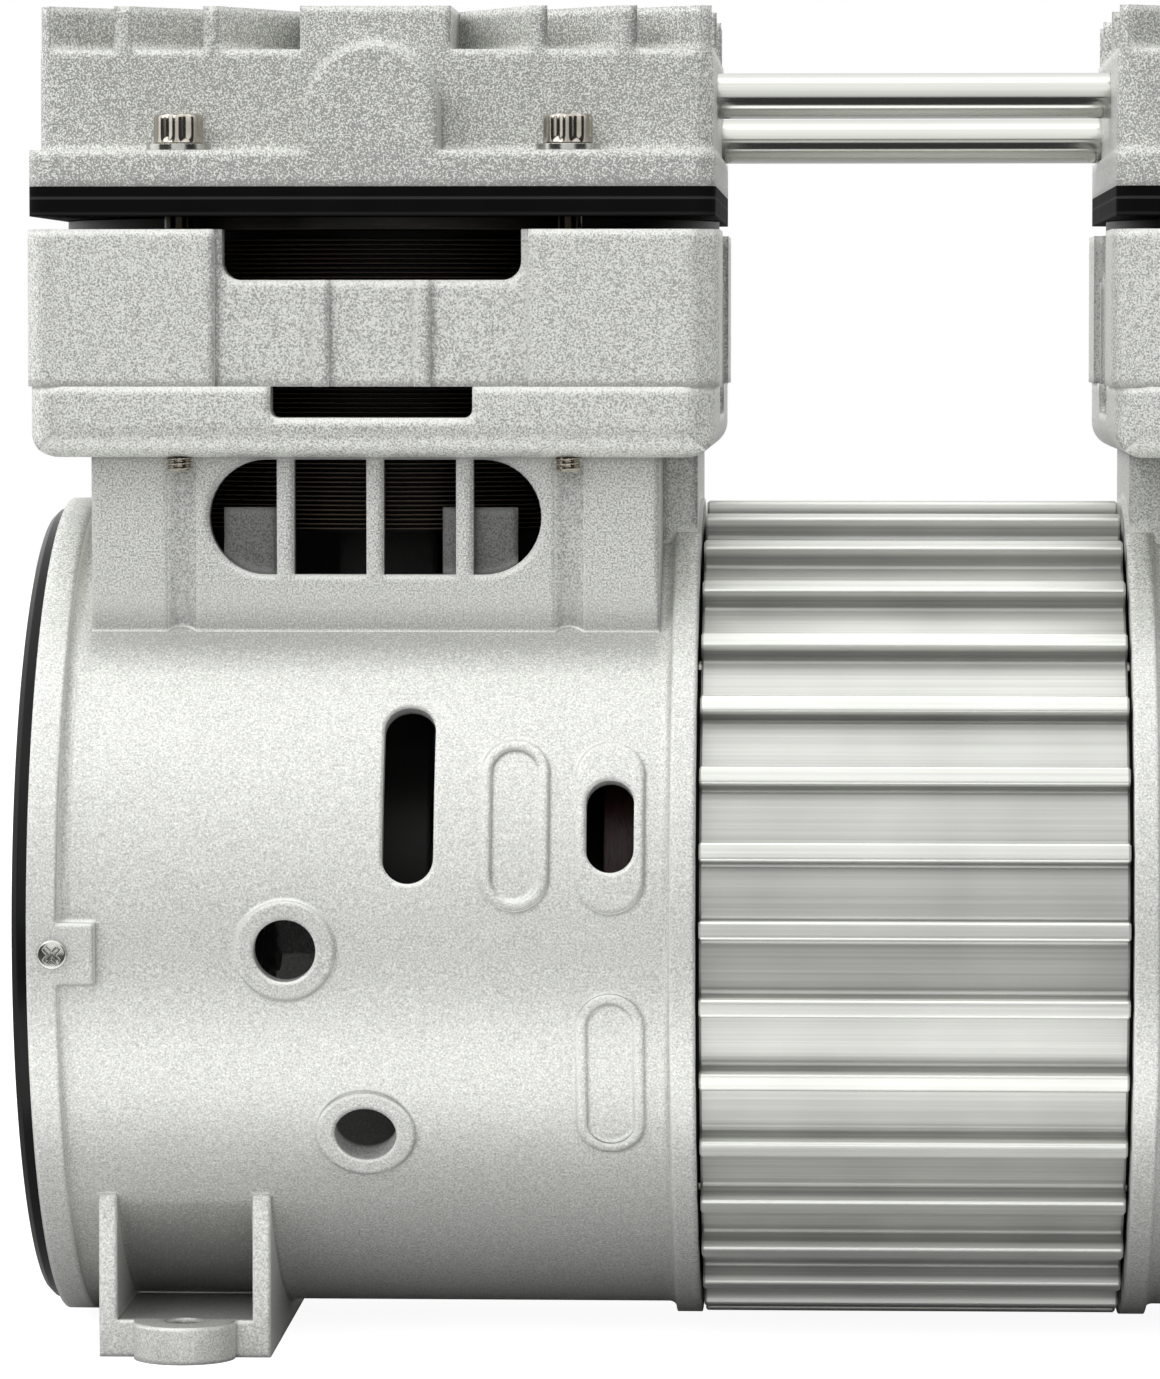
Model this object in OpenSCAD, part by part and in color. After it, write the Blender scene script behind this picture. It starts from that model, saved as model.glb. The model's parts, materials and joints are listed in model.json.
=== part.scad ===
// Twin-cylinder oil-free rocking-piston vacuum pump.
// X runs along the motor shaft, -Y is the front, +Z is up, and z = 0 is the mounting face.
// Each end unit is drawn on the +X side and mirrored for the left one.

/* [Layout] */
// Height of the shaft above the mounting face
axis_height = 60; // [59.5:0.5:64]
// How far the deck reaches over the motor shell
deck_inner_overhang = 2.5; // [-4:0.5:3]
// How far the deck reaches past the outer end of the crankcase
deck_outer_overhang = 0.8; // [-6:0.1:1]
// Height of the deck's underside above the shaft
neck_height = 65.7; // [65:0.1:72]

/* [Motor] */
// Length of the finned motor shell between the two crankcases
shell_length = 60; // [58:1:80]
// Bore of the motor shell
shell_bore = 104; // [102:0.5:105]
// Thickness of the shell under its fins
shell_wall = 3.6; // [2.5:0.1:4]
// Number of cooling fins round the shell
fin_count = 34; // [20:1:40]
// Height of each cooling fin
fin_height = 3.2; // [1:0.1:3.4]
// Thickness of each cooling fin
fin_thickness = 2.6; // [1.5:0.1:4]
// Angle of the first fin above the front horizontal
fin_start = 1.35; // [0:0.05:10]
// Open joint left between the shell and each crankcase flange
shell_joint = 0.5; // [0.1:0.1:0.8]
// From each end of the laminated stator core to the crankcase's spigot
core_gap = 1; // [1:1:8]
// Bore of the stator
stator_bore = 56; // [52:0.5:58]
// Radial gap between the rotor and the stator
air_gap = 0.5; // [0.3:0.1:1]
// Number of winding slots
slot_count = 24; // [12:1:30]
// Width of a winding slot
slot_width = 3.6; // [2.5:0.1:4.2]
// Depth of a winding slot behind its mouth
slot_depth = 12.5; // [8:0.5:13]
// How far the windings stand out past the core
winding_overhang = 20; // [8:1:21]
// Diameter of the four tie bolts that hold the motor together
tie_bolt_d = 4; // [3:0.5:4.5]

/* [Crankcase] */
// Outside diameter of the crankcase barrel
case_d = 115; // [114:0.5:117]
// Wall of the crankcase barrel
case_wall = 3; // [2:0.1:3.5]
// Outside diameter of the two flange rings
flange_d = 118; // [117.5:0.1:120]
// Width of the flange ring against the motor shell
motor_flange_w = 3.5; // [2.5:0.1:4.5]
// Width of the flange ring at the outer end
end_flange_w = 4.2; // [3.8:0.1:6]
// Radius of the blend behind each flange ring
flange_blend = 1.3; // [0.5:0.1:1.3]
// Length of the spigot that locates the motor shell
spigot_length = 6; // [3:0.5:7]
// Wall of the spigot
spigot_wall = 2.5; // [1.5:0.1:3]
// From the motor shell's end to the bearing bulkhead
bulkhead_inset = 17; // [16:0.5:17.5]
// Thickness of the bearing bulkhead
bulkhead_thickness = 4; // [3:0.5:5]
// Wall of the bearing boss round the bearing
bearing_boss_wall = 6.5; // [4:0.5:8]
// From the side of the deck to the side of the neck
neck_inset = 7.9; // [7.5:0.1:9]
// From the front of the deck to the front of the neck
neck_setback = 7.5; // [6.5:0.5:8.5]
// Wall of the neck
neck_wall = 3.5; // [2.5:0.1:3.6]
// Width of the window in the neck
window_width = 46.4; // [40:0.1:48]
// Height of the window in the neck
window_height = 16; // [12:0.5:16]
// Width of each bar across the window
window_bar = 2.4; // [1.5:0.1:3]
// Space from one bar of the window to the next
window_pitch = 12.5; // [10:0.1:13]

/* [Vents] */
// Width of the long vent slot
slot_vent_w = 7.1; // [5:0.1:8]
// Length of the long vent slot
slot_vent_l = 25.3; // [16:0.1:27]
// Width of the short vent slot
short_vent_w = 6.6; // [4:0.1:7]
// Length of the short vent slot
short_vent_l = 13; // [8:0.5:16]
// Diameter of the two round vents
round_vent_d = 8.6; // [6:0.1:9]
// Width of the raised rim round each round vent
round_vent_rim = 2.6; // [1.5:0.1:3]
// Width of a cast racetrack pad
pad_w = 9.3; // [9:0.1:10]
// Length of a cast racetrack pad
pad_l = 24; // [20:0.5:26]
// Width of the raised border of a blind pad
pad_border = 1.4; // [0.8:0.1:2]
// How far the pads and rims stand out of the barrel
pad_height = 0.4; // [0.2:0.1:0.8]

/* [Feet] */
// From the axis of the cylinder to the row of foot holes
foot_offset = 26.5; // [26:0.5:27]
// From the front foot hole to the rear one
foot_hole_spacing = 89; // [88:1:96]
// Diameter of the foot holes
foot_hole_d = 5.3; // [4.2:0.1:7]
// Width of a foot along the shaft
foot_width = 24; // [20:0.5:24]
// Thickness of the foot plate
foot_thickness = 5.2; // [4:0.1:7]
// Diameter of the round boss at each foot hole
foot_boss_d = 14.2; // [12:0.1:18]
// Thickness of the ribs that join a foot to the barrel
foot_rib = 2.5; // [2:0.1:4]

/* [Cylinder stack] */
// Gap between the liner's grooves and the neck's wall
liner_gap = 0.3; // [0.2:0.1:1.2]
// Extra width of the shroud along the shaft
shroud_extra = 1; // [0:0.1:2]
// Height of the deck on top of the crankcase
deck_height = 9.8; // [9:0.1:14]
// Thickness of the deck's floor
deck_floor = 3; // [2:0.1:4]
// Height of the cooling shroud round the cylinder
shroud_height = 21.7; // [20:0.1:30]
// Wall of the deck and the shroud
shroud_wall = 5.5; // [3:0.1:6]
// Radius of the stack's upright corners
corner_radius = 4.5; // [2:0.1:5]
// Radius along the lower edge of the deck
deck_edge_radius = 4; // [1:0.1:4]
// Diameter of the cylinder bore
bore_d = 60; // [58:0.5:61]
// Wall of the cylinder liner
liner_wall = 2.6; // [2:0.1:3]
// Depth of the liner's fine cooling grooves
liner_groove = 3.2; // [1:0.1:3.2]
// Spacing of the liner's fine cooling grooves
liner_pitch = 1.3; // [1.2:0.1:3]
// How far the liner hangs below the top of the deck
liner_drop = 20.5; // [16:0.5:20.5]
// Thickness of the liner's top flange
liner_flange = 1.8; // [1.2:0.1:3]
// From the side of the deck to the rim of the liner's top flange
liner_flange_inset = 0.4; // [0.3:0.1:2.5]
// Radius of the upright corners of the valve plate, the gasket and the head
plate_corner = 2.5; // [1:0.5:4]
// Thickness of the valve plate
plate_thickness = 2.6; // [2.4:0.1:5]
// Thickness of the head gasket
gasket_thickness = 1.5; // [0.8:0.1:2]

/* [Head] */
// Thickness of the head's flange
head_flange = 5; // [4:0.1:7]
// Height of the ribbed body above the head's flange
head_body = 20.2; // [20:0.1:24]
// From the side of the head's flange to the side of its ribbed body
head_ledge = 0.5; // [0.5:0.1:1.5]
// From the front of the flange to the front of the body, where the bolts stand
head_front_ledge = 9.6; // [9.6:0.1:10.5]
// Height of the ribs on top of the head
head_rib_height = 6; // [3:0.1:6]
// Thickness of the ribs on top of the head
head_rib = 1.8; // [1.2:0.1:3]
// Width of the solid block across the middle of the head
head_block = 21; // [19:0.5:26]
// Width of the round-topped port boss
port_boss_w = 18.4; // [16.5:0.1:20]
// Height of the port boss above the head's flange
port_boss_h = 14.8; // [14:0.1:16]
// Diameter of the threaded ports
port_d = 11.4; // [8:0.1:13]
// Depth of the threaded ports
port_depth = 11; // [8:0.5:12]
// Roof of the gas chambers under the ribs
chamber_roof = 2; // [1:0.1:2.2]
// Wall between the intake and exhaust chambers
chamber_divider = 3.5; // [2:0.5:5]
// From the middle of the head to the middle of that wall
divider_offset = 7.2; // [6:0.1:8]

/* [Head bolts] */
// Diameter of the head bolts
head_bolt_d = 4; // [3:0.5:4.2]
// From the middle of the head to a bolt, along the shaft
bolt_x = 27; // [26.5:0.5:29]
// From the front of the head to the row of bolts
bolt_inset = 5; // [4.6:0.1:5]
// Diameter of the bolts' socket heads
bolt_head_d = 6.9; // [5.5:0.1:7.5]
// Height of the bolts' socket heads
bolt_head_h = 4.1; // [3:0.1:5]
// Diameter of the washers
washer_d = 9; // [8:0.1:9.2]
// Thickness of the washers
washer_thickness = 0.9; // [0.5:0.1:1.2]
// How far the bolts stand out below the deck
bolt_tail = 2; // [0.5:0.1:4]

/* [Transfer tubes] */
// Outside diameter of the two transfer tubes
tube_d = 6.5; // [5:0.1:7]
// Wall of the transfer tubes
tube_wall = 0.8; // [0.5:0.1:1.2]
// How far each tube enters a head
tube_insert = 7.5; // [6:0.5:8]
// Place of the intake tube in front of the shaft
front_tube_y = 10; // [4:0.5:16]
// Height of the intake tube above the head's flange
front_tube_z = 8.6; // [4:0.1:8.7]
// Place of the exhaust tube behind the shaft
rear_tube_y = 24; // [16:0.5:27]
// Height of the exhaust tube above the head's flange
rear_tube_z = 3.1; // [2:0.1:8]

/* [Crank and piston] */
// Diameter of the shaft in its main bearings
shaft_d = 15; // [13:0.5:16]
// Outside diameter of the main bearings
main_bearing_od = 35; // [34:0.5:36]
// Width of the main bearings
main_bearing_w = 11; // [9:0.5:11]
// Throw of each crank eccentric, half the stroke
crank_throw = 4; // [3:0.1:4.1]
// Diameter of the eccentric journal
journal_d = 30; // [29:0.5:31]
// Outside diameter of the connecting rod bearings
rod_bearing_od = 55; // [54:0.5:56]
// Width of the connecting rod bearings
rod_bearing_w = 13; // [11:0.5:13.5]
// Width of the connecting rod
rod_width = 14; // [13.5:0.5:15]
// Wall of the connecting rod's big end
big_end_wall = 4; // [3:0.5:6]
// Radius of the counterweight
counterweight_r = 38; // [30:1:44]
// Thickness of the counterweight
counterweight_w = 7; // [5:0.5:8]
// Thickness of the piston disc at the top of the rod
piston_disc = 4; // [3:0.5:6]
// Thickness of the piston cup
cup_thickness = 1; // [0.8:0.1:1.5]
// Height of the piston cup's lip
cup_lip = 5; // [3:0.5:5]
// From the rim of the piston disc to the rim of the plate that clamps the cup
retainer_inset = 3.7; // [2.7:0.1:7.7]
// Thickness of that plate
retainer_thickness = 2.7; // [2.5:0.1:3]
// Gap from the plate to the valve plate at the top of the stroke
top_gap = 2.8; // [2.6:0.1:4]

/* [Valves] */
// Diameter of each valve port
valve_port_d = 6; // [3:0.5:7]
// Width of the reeds
reed_width = 9; // [8:0.5:10]
// Thickness of the reeds
reed_thickness = 0.3; // [0.2:0.05:0.4]
// Length of a reed from its hinge line to its tip
reed_length = 25; // [20:1:27]
// How far the intake reed lies in front of the bore's axis
intake_reed_y = 14; // [10:0.5:16]
// How far the exhaust reed lies behind the bore's axis
exhaust_reed_y = 20.5; // [17:0.5:21]
// Widest opening of the reeds in degrees
reed_opening = 4; // [2:0.5:4]

/* [Fans and end covers] */
// Diameter of the cooling fans
fan_d = 96; // [80:1:98]
// Length of the fan's hub along the shaft
fan_length = 18; // [12:1:18]
// Number of fan blades
fan_blades = 7; // [5:1:9]
// Diameter of the shaft in the fan's hub
fan_shaft_d = 12; // [8:0.5:13]
// Diameter of the end cover's rim
cover_d = 114.8; // [114:0.1:117]
// Thickness of the end cover
cover_thickness = 2.3; // [2:0.1:4]
// Length of the end cover's skirt inside the crankcase
cover_skirt = 7.2; // [6.5:0.1:8]
// Thickness of that skirt
cover_skirt_wall = 2.5; // [2:0.1:3]
// Width of the ring openings in the end cover
grille_gap = 6; // [4:0.5:7]
// Width of the rings between the openings
grille_ring = 3; // [2:0.5:4]
// Number of spokes in the end cover
grille_spokes = 12; // [6:1:16]
// Diameter of the end cover's screws
cover_screw_d = 3; // [2:0.5:3]
// Diameter of the heads of those screws
cover_screw_head = 4.2; // [4:0.1:5]

/* [Clearances] */
// Radial clearance of parts that are seated in each other
seat_gap = 0.02; // [0.01:0.01:0.05]
// Radial clearance between the balls and their races
ball_gap = 0.03; // [0.02:0.01:0.06]
// Clearance of the bolts in their holes
bolt_gap = 0.25; // [0.1:0.05:0.4]
// Radial clearance between the piston disc and the bore at full swing
piston_gap = 0.3; // [0.2:0.1:0.8]

/* [Hidden] */
$fn = 64;
eps = 0.01;

// The width of the square deck, valve plate and head, and what follows from it
neck_margin = neck_wall + max(neck_inset, neck_setback);
stack_width = bore_d + 2 * (liner_wall + liner_groove + liner_gap + neck_margin);
inner_reach = stack_width / 2 - deck_inner_overhang;
outer_reach = stack_width / 2 - deck_outer_overhang;
neck_width = stack_width - 2 * neck_inset;
neck_depth = stack_width - 2 * neck_setback;
liner_flange_d = stack_width - 2 * liner_flange_inset;
bolt_y = stack_width / 2 - bolt_inset;
head_width = stack_width - 2 * head_ledge;
head_depth = stack_width - 2 * head_front_ledge;

// Places along the shaft, measured from the middle of the pump
fan_gap = 10;
face_x = shell_length / 2;
head_x = face_x + inner_reach;
end_x = head_x + outer_reach;
bulkhead_x = face_x + bulkhead_inset;
bearing_x = bulkhead_x + bulkhead_thickness / 2;
rod_x0 = head_x - rod_width / 2;
fan_x = head_x + rod_width / 2 + fan_gap;
fan_end_x = fan_x + fan_length;
shaft_end_x = fan_end_x + 3;

// Heights of the stack's joints above the mounting face
deck_z = axis_height + neck_height;
shroud_z = deck_z + deck_height;
liner_top_z = shroud_z + shroud_height;
plate_z = liner_top_z + liner_flange;
gasket_z = plate_z + plate_thickness;
head_z = gasket_z + gasket_thickness;
ledge_z = head_z + head_flange;
head_top_z = ledge_z + head_body;
rib_floor_z = head_top_z - head_rib_height;
chamber_top_z = rib_floor_z - chamber_roof;

// Radii of the barrel and what it carries
case_r = case_d / 2;
chamber_r = case_r - case_wall;
flange_r = flange_d / 2;
shell_r = shell_bore / 2 + shell_wall;
spigot_r = shell_bore / 2 - seat_gap;
tie_r = shell_bore / 2 - tie_bolt_d / 2;
tie_head_h = 3.2;
tie_head_d = 1.75 * tie_bolt_d;
boss_r = main_bearing_od / 2 + bearing_boss_wall;

// Stator and rotor
core_length = shell_length - 2 * (spigot_length + core_gap);
core_r = shell_bore / 2 - seat_gap;
slot_r = stator_bore / 2 + 3;
winding_gap = 0.2;
rotor_r = stator_bore / 2 - air_gap;
end_ring_w = 5;
shoulder_r = shaft_d / 2 + 1.5;

// Main bearing and rod bearing: pitch radius and ball radius
main_pitch_r = (shaft_d + main_bearing_od) / 4;
main_ball_r = (main_bearing_od - shaft_d) / 7;
rod_pitch_r = (journal_d + rod_bearing_od) / 4;
rod_ball_r = (rod_bearing_od - journal_d) / 7.2;
main_balls = 8;
rod_balls = 12;
race_share = 0.62;

// Cylinder, piston and rod
bore_r = bore_d / 2;
liner_r = bore_r + liner_wall;
fin_r = liner_r + liner_groove;
liner_bottom_z = shroud_z - liner_drop;
piston_r = bore_r - crank_throw - piston_gap;
retainer_d = 2 * (piston_r - retainer_inset);
cup_r = bore_r - 0.1;
cup_seat_z = plate_z - top_gap - retainer_thickness - cup_thickness;
rod_length = cup_seat_z - axis_height - crank_throw;
big_end_r = rod_bearing_od / 2 + big_end_wall;
retainer_bolt_d = 5;
retainer_head_d = 9.5;
retainer_head_h = 1.6;
retainer_bolt_l = 12;
rod_root = 18;
rod_tip = 10;
rod_cone_r = 7;
rod_cone_h = 12;
rod_cone_drop = 4;
rod_pocket_root = 9;
rod_pocket_tip = 6;
rod_pocket_gap = 4;
set_screw_d = 5;
set_screw_l = 6;
fan_hub_wall = 4;

// Gas chambers in the head
chamber_end_wall = 8.5;
chamber_front_wall = 4.5;
chamber_x = head_width / 2 - chamber_end_wall;
chamber_y = head_depth / 2 - chamber_front_wall;
chamber_corner = 4;
divider_front = divider_offset - chamber_divider / 2;
divider_back = divider_offset + chamber_divider / 2;
port_z = ledge_z + port_boss_h - port_boss_w / 2;
port_reach = stack_width / 2;
port_throat_d = 9;
front_tube_at = [-front_tube_y, ledge_z + front_tube_z];
rear_tube_at = [rear_tube_y, ledge_z + rear_tube_z];
tube_end_x = head_x - head_width / 2 + tube_insert;
o_ring_x = head_x - head_width / 2 + 4;
o_ring_cord = 1.64;
o_ring_land = 2.2;
seal_r = bore_r + 3.5;
seal_cord = 1.3;

// Reeds: hinge line, tab and screw, measured from the bore's axis
reed_hinge_x = 12;
reed_tab = 5;
reed_screw_x = reed_hinge_x + 2.5;
reed_screw_d = 3;
reed_screw_head_d = 5;
reed_screw_head_h = 1;
valve_port_x = reed_hinge_x - reed_length + 5;
tab_relief = reed_tab * sin(reed_opening) + 0.1;
stop_thickness = 0.8;

// Cast details of the crankcase, as offset along the shaft from the bore's
// axis and angle above the front horizontal
slot_vent_at = [-5.55, 20.2];
short_vent_at = [-33.3, 15.5];
blind_pads_at = [[-20.2, 15.8], [-33.3, -19.5]];
round_vents_at = [[11.3, -1.7], [0.7, -28.65]];
neck_stubs_at = [[-19.8, -9.3], [13.9, 21.3]];
neck_stub_depth = 1.6;
neck_stub_foot = 41;
neck_stub_top = 58.6;
deck_notch_w = 28;
deck_notch_h = 4.3;
deck_notch_corner = 1.2;
bolt_groove_r = 3.2;
screw_tab_z = -2.2;
screw_tab_h = 8.6;
screw_tab_w = 5.1;
cover_screw_x = end_x - 3.6;
grille_hub = 14;
bulkhead_top = 45;
bulkhead_hole_d = 15;
web_depth = 44;

// Shroud details
panel_half_w = 21.7;
panel_depth = 1.2;
notch_half_w = 20.7;
notch_height = 7;
notch_corner = 2.6;
rib_at = 7;
rib_w = 2.3;
rib_out = 0.8;
bolt_boss_r = 4.8;
hollow_w = stack_width - 2 * shroud_wall;

left = -1;
right = 1;

// Which way the crank points at rest: the left piston is up and the right one is down
function crank_way(side) = side == left ? 1 : -1;

// Draws on the +X side, or mirrored to the left
module on_side(side) {
    mirror([side == left ? 1 : 0, 0, 0]) children();
}

// Draws at the front and again at the back
module front_and_back() {
    for (back = [0, 1]) mirror([0, back, 0]) children();
}

// Turns a shape drawn along Z to lie along the shaft
module about_shaft() {
    translate([0, 0, axis_height]) rotate([0, 90, 0]) children();
}

// A ring or disc about the shaft from x0 to x1
module shaft_ring(x0, x1, outer, inner = 0) {
    about_shaft() translate([0, 0, x0]) difference() {
        cylinder(r = outer, h = x1 - x0);
        if (inner > 0) translate([0, 0, -1]) cylinder(r = inner, h = x1 - x0 + 2);
    }
}

// Points a shape drawn along Z out of the barrel, at an angle above the front
module out_of_barrel(at) {
    translate([head_x + at[0], 0, axis_height]) rotate([90 - at[1], 0, 0]) children();
}

// A long hole with round ends, upright along Y
module racetrack(w, l) {
    square([w, l - w], center = true);
    for (end = [-1, 1]) translate([0, end * (l - w) / 2]) circle(d = w);
}

// A rectangle with round corners
module round_rect(w, d, r) {
    square([w - 2 * r, d], center = true);
    square([w, d - 2 * r], center = true);
    for (x = [-1, 1], y = [-1, 1])
        translate([x * (w / 2 - r), y * (d / 2 - r)]) circle(r = r);
}

// The side view of a block whose lower edges are round
module round_foot_rect(w, h, r) {
    translate([-w / 2, r]) square([w, h - r]);
    translate([-w / 2 + r, 0]) square([w - 2 * r, r + eps]);
    for (x = [-1, 1]) translate([x * (w / 2 - r), r]) circle(r = r);
}

// The four bolt positions of a head
module at_bolts() {
    for (x = [-1, 1], y = [-1, 1]) translate([head_x + x * bolt_x, y * bolt_y, 0]) children();
}

// Four bolt holes through the stack
module bolt_holes(d, z0, z1) {
    at_bolts() translate([0, 0, z0]) cylinder(d = d, h = z1 - z0);
}

module motor_shell() {
    color("silver") about_shaft() translate([0, 0, shell_joint - face_x])
        linear_extrude(shell_length - 2 * shell_joint) difference() {
            union() {
                circle(r = shell_r);
                intersection() {
                    circle(r = shell_r + fin_height);
                    for (i = [0 : fin_count - 1])
                        rotate(-90 - fin_start + i * 360 / fin_count)
                            translate([shell_r - 1, -fin_thickness / 2])
                                square([fin_height + 2, fin_thickness]);
                }
            }
            circle(d = shell_bore);
        }
}

module at_tie_bolts() {
    for (i = [0 : 3]) about_shaft() rotate(45 + 90 * i) translate([tie_r, 0, 0]) children();
}

module stator_core() {
    color("dimgray") difference() {
        about_shaft() translate([0, 0, -core_length / 2]) linear_extrude(core_length) difference() {
            circle(r = core_r);
            circle(d = stator_bore);
            for (i = [0 : slot_count - 1]) rotate(i * 360 / slot_count) {
                translate([slot_r, -slot_width / 2]) square([slot_depth, slot_width]);
                translate([stator_bore / 2 - 1, -slot_width / 5])
                    square([slot_r - stator_bore / 2 + 2, slot_width / 2.5]);
            }
        }
        at_tie_bolts() translate([0, 0, -core_length])
            cylinder(d = tie_bolt_d + 2 * bolt_gap, h = 2 * core_length);
    }
}

module stator_windings() {
    color("chocolate") {
        for (side = [left, right]) on_side(side)
            shaft_ring(core_length / 2 + winding_gap, core_length / 2 + winding_overhang,
                slot_r + slot_depth + 2, slot_r - 0.5);
        about_shaft() translate([0, 0, -core_length / 2 - 1]) linear_extrude(core_length + 2)
            for (i = [0 : slot_count - 1]) rotate(i * 360 / slot_count)
                translate([slot_r + winding_gap, -slot_width / 2 + winding_gap])
                    square([slot_depth - 2 * winding_gap, slot_width - 2 * winding_gap]);
    }
}

module tie_bolts() {
    seat = bulkhead_x + bulkhead_thickness;
    color("gray") at_tie_bolts() {
        translate([0, 0, -seat - tie_head_h]) cylinder(d = tie_head_d, h = tie_head_h);
        translate([0, 0, -seat - eps]) cylinder(d = tie_bolt_d, h = 2 * seat + tie_head_h + 1);
        translate([0, 0, seat]) difference() {
            cylinder(d = tie_head_d, h = tie_head_h, $fn = 6);
            translate([0, 0, -1]) cylinder(r = tie_bolt_d / 2 + seat_gap, h = tie_head_h + 2);
        }
    }
}

// The barrel and its two flange rings as one solid of revolution
module barrel() {
    f = flange_blend;
    about_shaft() rotate_extrude() polygon([
        [0, face_x], [flange_r, face_x], [flange_r, face_x + motor_flange_w],
        [case_r, face_x + motor_flange_w], [case_r, end_x - end_flange_w],
        [flange_r, end_x - end_flange_w], [flange_r, end_x], [0, end_x]
    ]);
    // the blends behind the rings
    about_shaft() rotate_extrude() {
        difference() {
            translate([case_r - 1, face_x + motor_flange_w - 1]) square([f + 1, f + 1]);
            translate([case_r + f, face_x + motor_flange_w + f]) circle(r = f);
        }
        difference() {
            translate([case_r - 1, end_x - end_flange_w - f]) square([f + 1, f + 1]);
            translate([case_r + f, end_x - end_flange_w - f]) circle(r = f);
        }
    }
}

// The inside of the deck and the shroud, seen from above: a square with room for the bolts' bosses
module stack_hollow() {
    difference() {
        round_rect(hollow_w, hollow_w, corner_radius);
        for (x = [-1, 1], y = [-1, 1]) translate([x * bolt_x, y * bolt_y]) circle(r = bolt_boss_r);
    }
}

module deck() {
    h = deck_height;
    translate([head_x, 0, deck_z]) intersection() {
        linear_extrude(h) round_rect(stack_width, stack_width, corner_radius);
        rotate([90, 0, 0]) translate([0, 0, -stack_width / 2]) linear_extrude(stack_width)
            round_foot_rect(stack_width, h, deck_edge_radius);
        rotate([90, 0, 90]) translate([0, 0, -stack_width / 2]) linear_extrude(stack_width)
            round_foot_rect(stack_width, h, deck_edge_radius);
    }
}

module foot() {
    x = head_x + foot_offset;
    front_y = foot_hole_spacing / 2 - 0.5;
    translate([x - foot_width / 2, -front_y, 0]) cube([foot_width, 2 * front_y, foot_thickness]);
    for (way = [-1, 1]) {
        translate([x + way * (foot_width - foot_rib) / 2 - foot_rib / 2, -front_y, 0])
            cube([foot_rib, 2 * front_y, axis_height - case_r / 2]);
        translate([x, way * foot_hole_spacing / 2, 0]) cylinder(d = foot_boss_d, h = foot_thickness);
    }
}

// The neck's window: a long opening with round ends behind upright bars
module neck_window() {
    top = deck_z - 0.4;
    translate([head_x, -neck_depth / 2 - 1, top - window_height / 2])
        rotate([-90, 0, 0]) linear_extrude(neck_wall + 2) difference() {
            rotate(90) racetrack(window_height, window_width);
            for (i = [-1 : 1]) translate([i * window_pitch - window_bar / 2, -window_height])
                square([window_bar, 2 * window_height]);
        }
}

module cast_pads() {
    intersection() {
        union() {
            for (at = blind_pads_at) out_of_barrel(at) linear_extrude(flange_r) difference() {
                racetrack(pad_w, pad_l);
                racetrack(pad_w - 2 * pad_border, pad_l - 2 * pad_border);
            }
            out_of_barrel(short_vent_at) linear_extrude(flange_r) racetrack(pad_w, pad_l);
        }
        shaft_ring(face_x, end_x, case_r + pad_height, chamber_r + 1);
    }
    for (at = round_vents_at) out_of_barrel(at)
        cylinder(d = round_vent_d + 2 * round_vent_rim, h = case_r + pad_height);
    intersection() {
        translate([end_x - end_flange_w - screw_tab_w + eps, -flange_r,
            axis_height + screw_tab_z - screw_tab_h / 2])
            cube([screw_tab_w, flange_r / 3, screw_tab_h]);
        shaft_ring(face_x, end_x, flange_r);
    }
}

module vents() {
    out_of_barrel(slot_vent_at) linear_extrude(flange_r + 1) racetrack(slot_vent_w, slot_vent_l);
    out_of_barrel(short_vent_at) linear_extrude(flange_r + 1) racetrack(short_vent_w, short_vent_l);
    for (at = round_vents_at) out_of_barrel(at) cylinder(d = round_vent_d, h = flange_r + 1);
    translate([cover_screw_x, 0, axis_height + screw_tab_z]) rotate([90, 0, 0])
        cylinder(d = cover_screw_d + 2 * seat_gap, h = flange_r + 1);
}

module bulkhead() {
    boss_x0 = bearing_x - main_bearing_w / 2 - 1.5;
    boss_x1 = bearing_x + main_bearing_w / 2;
    difference() {
        union() {
            intersection() {
                shaft_ring(bulkhead_x, bulkhead_x + bulkhead_thickness, chamber_r + 1);
                translate([face_x, -case_r, 0]) cube([end_x, case_d, axis_height + bulkhead_top]);
            }
            shaft_ring(boss_x0, boss_x1, boss_r);
        }
        shaft_ring(boss_x0 + 1.5, boss_x1 + 1, main_bearing_od / 2 + seat_gap);
        shaft_ring(boss_x0 - 1, boss_x1, shoulder_r + 1);
        for (i = [0 : 7]) about_shaft() rotate(22.5 + 45 * i)
            translate([(boss_r + tie_r - tie_bolt_d) / 2 + 0.5, 0, bulkhead_x - 1])
                cylinder(d = bulkhead_hole_d, h = bulkhead_thickness + 2);
        at_tie_bolts() translate([0, 0, bulkhead_x - 1])
            cylinder(r = tie_bolt_d / 2 + seat_gap, h = bulkhead_thickness + 2);
    }
}

// The square neck under the deck, with a groove for the end of each head bolt
module neck() {
    difference() {
        translate([head_x - neck_width / 2, -neck_depth / 2, axis_height])
            cube([neck_width, neck_depth, neck_height + eps]);
        at_bolts() translate([0, 0, axis_height]) cylinder(r = bolt_groove_r, h = neck_height);
    }
}

// Two short walls inside the neck, seen through its window
module neck_stubs() {
    for (at = neck_stubs_at)
        translate([head_x + at[0], neck_wall - neck_depth / 2 - 1, axis_height + neck_stub_foot])
            cube([at[1] - at[0], neck_stub_depth + 1, neck_stub_top - neck_stub_foot]);
}

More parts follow.
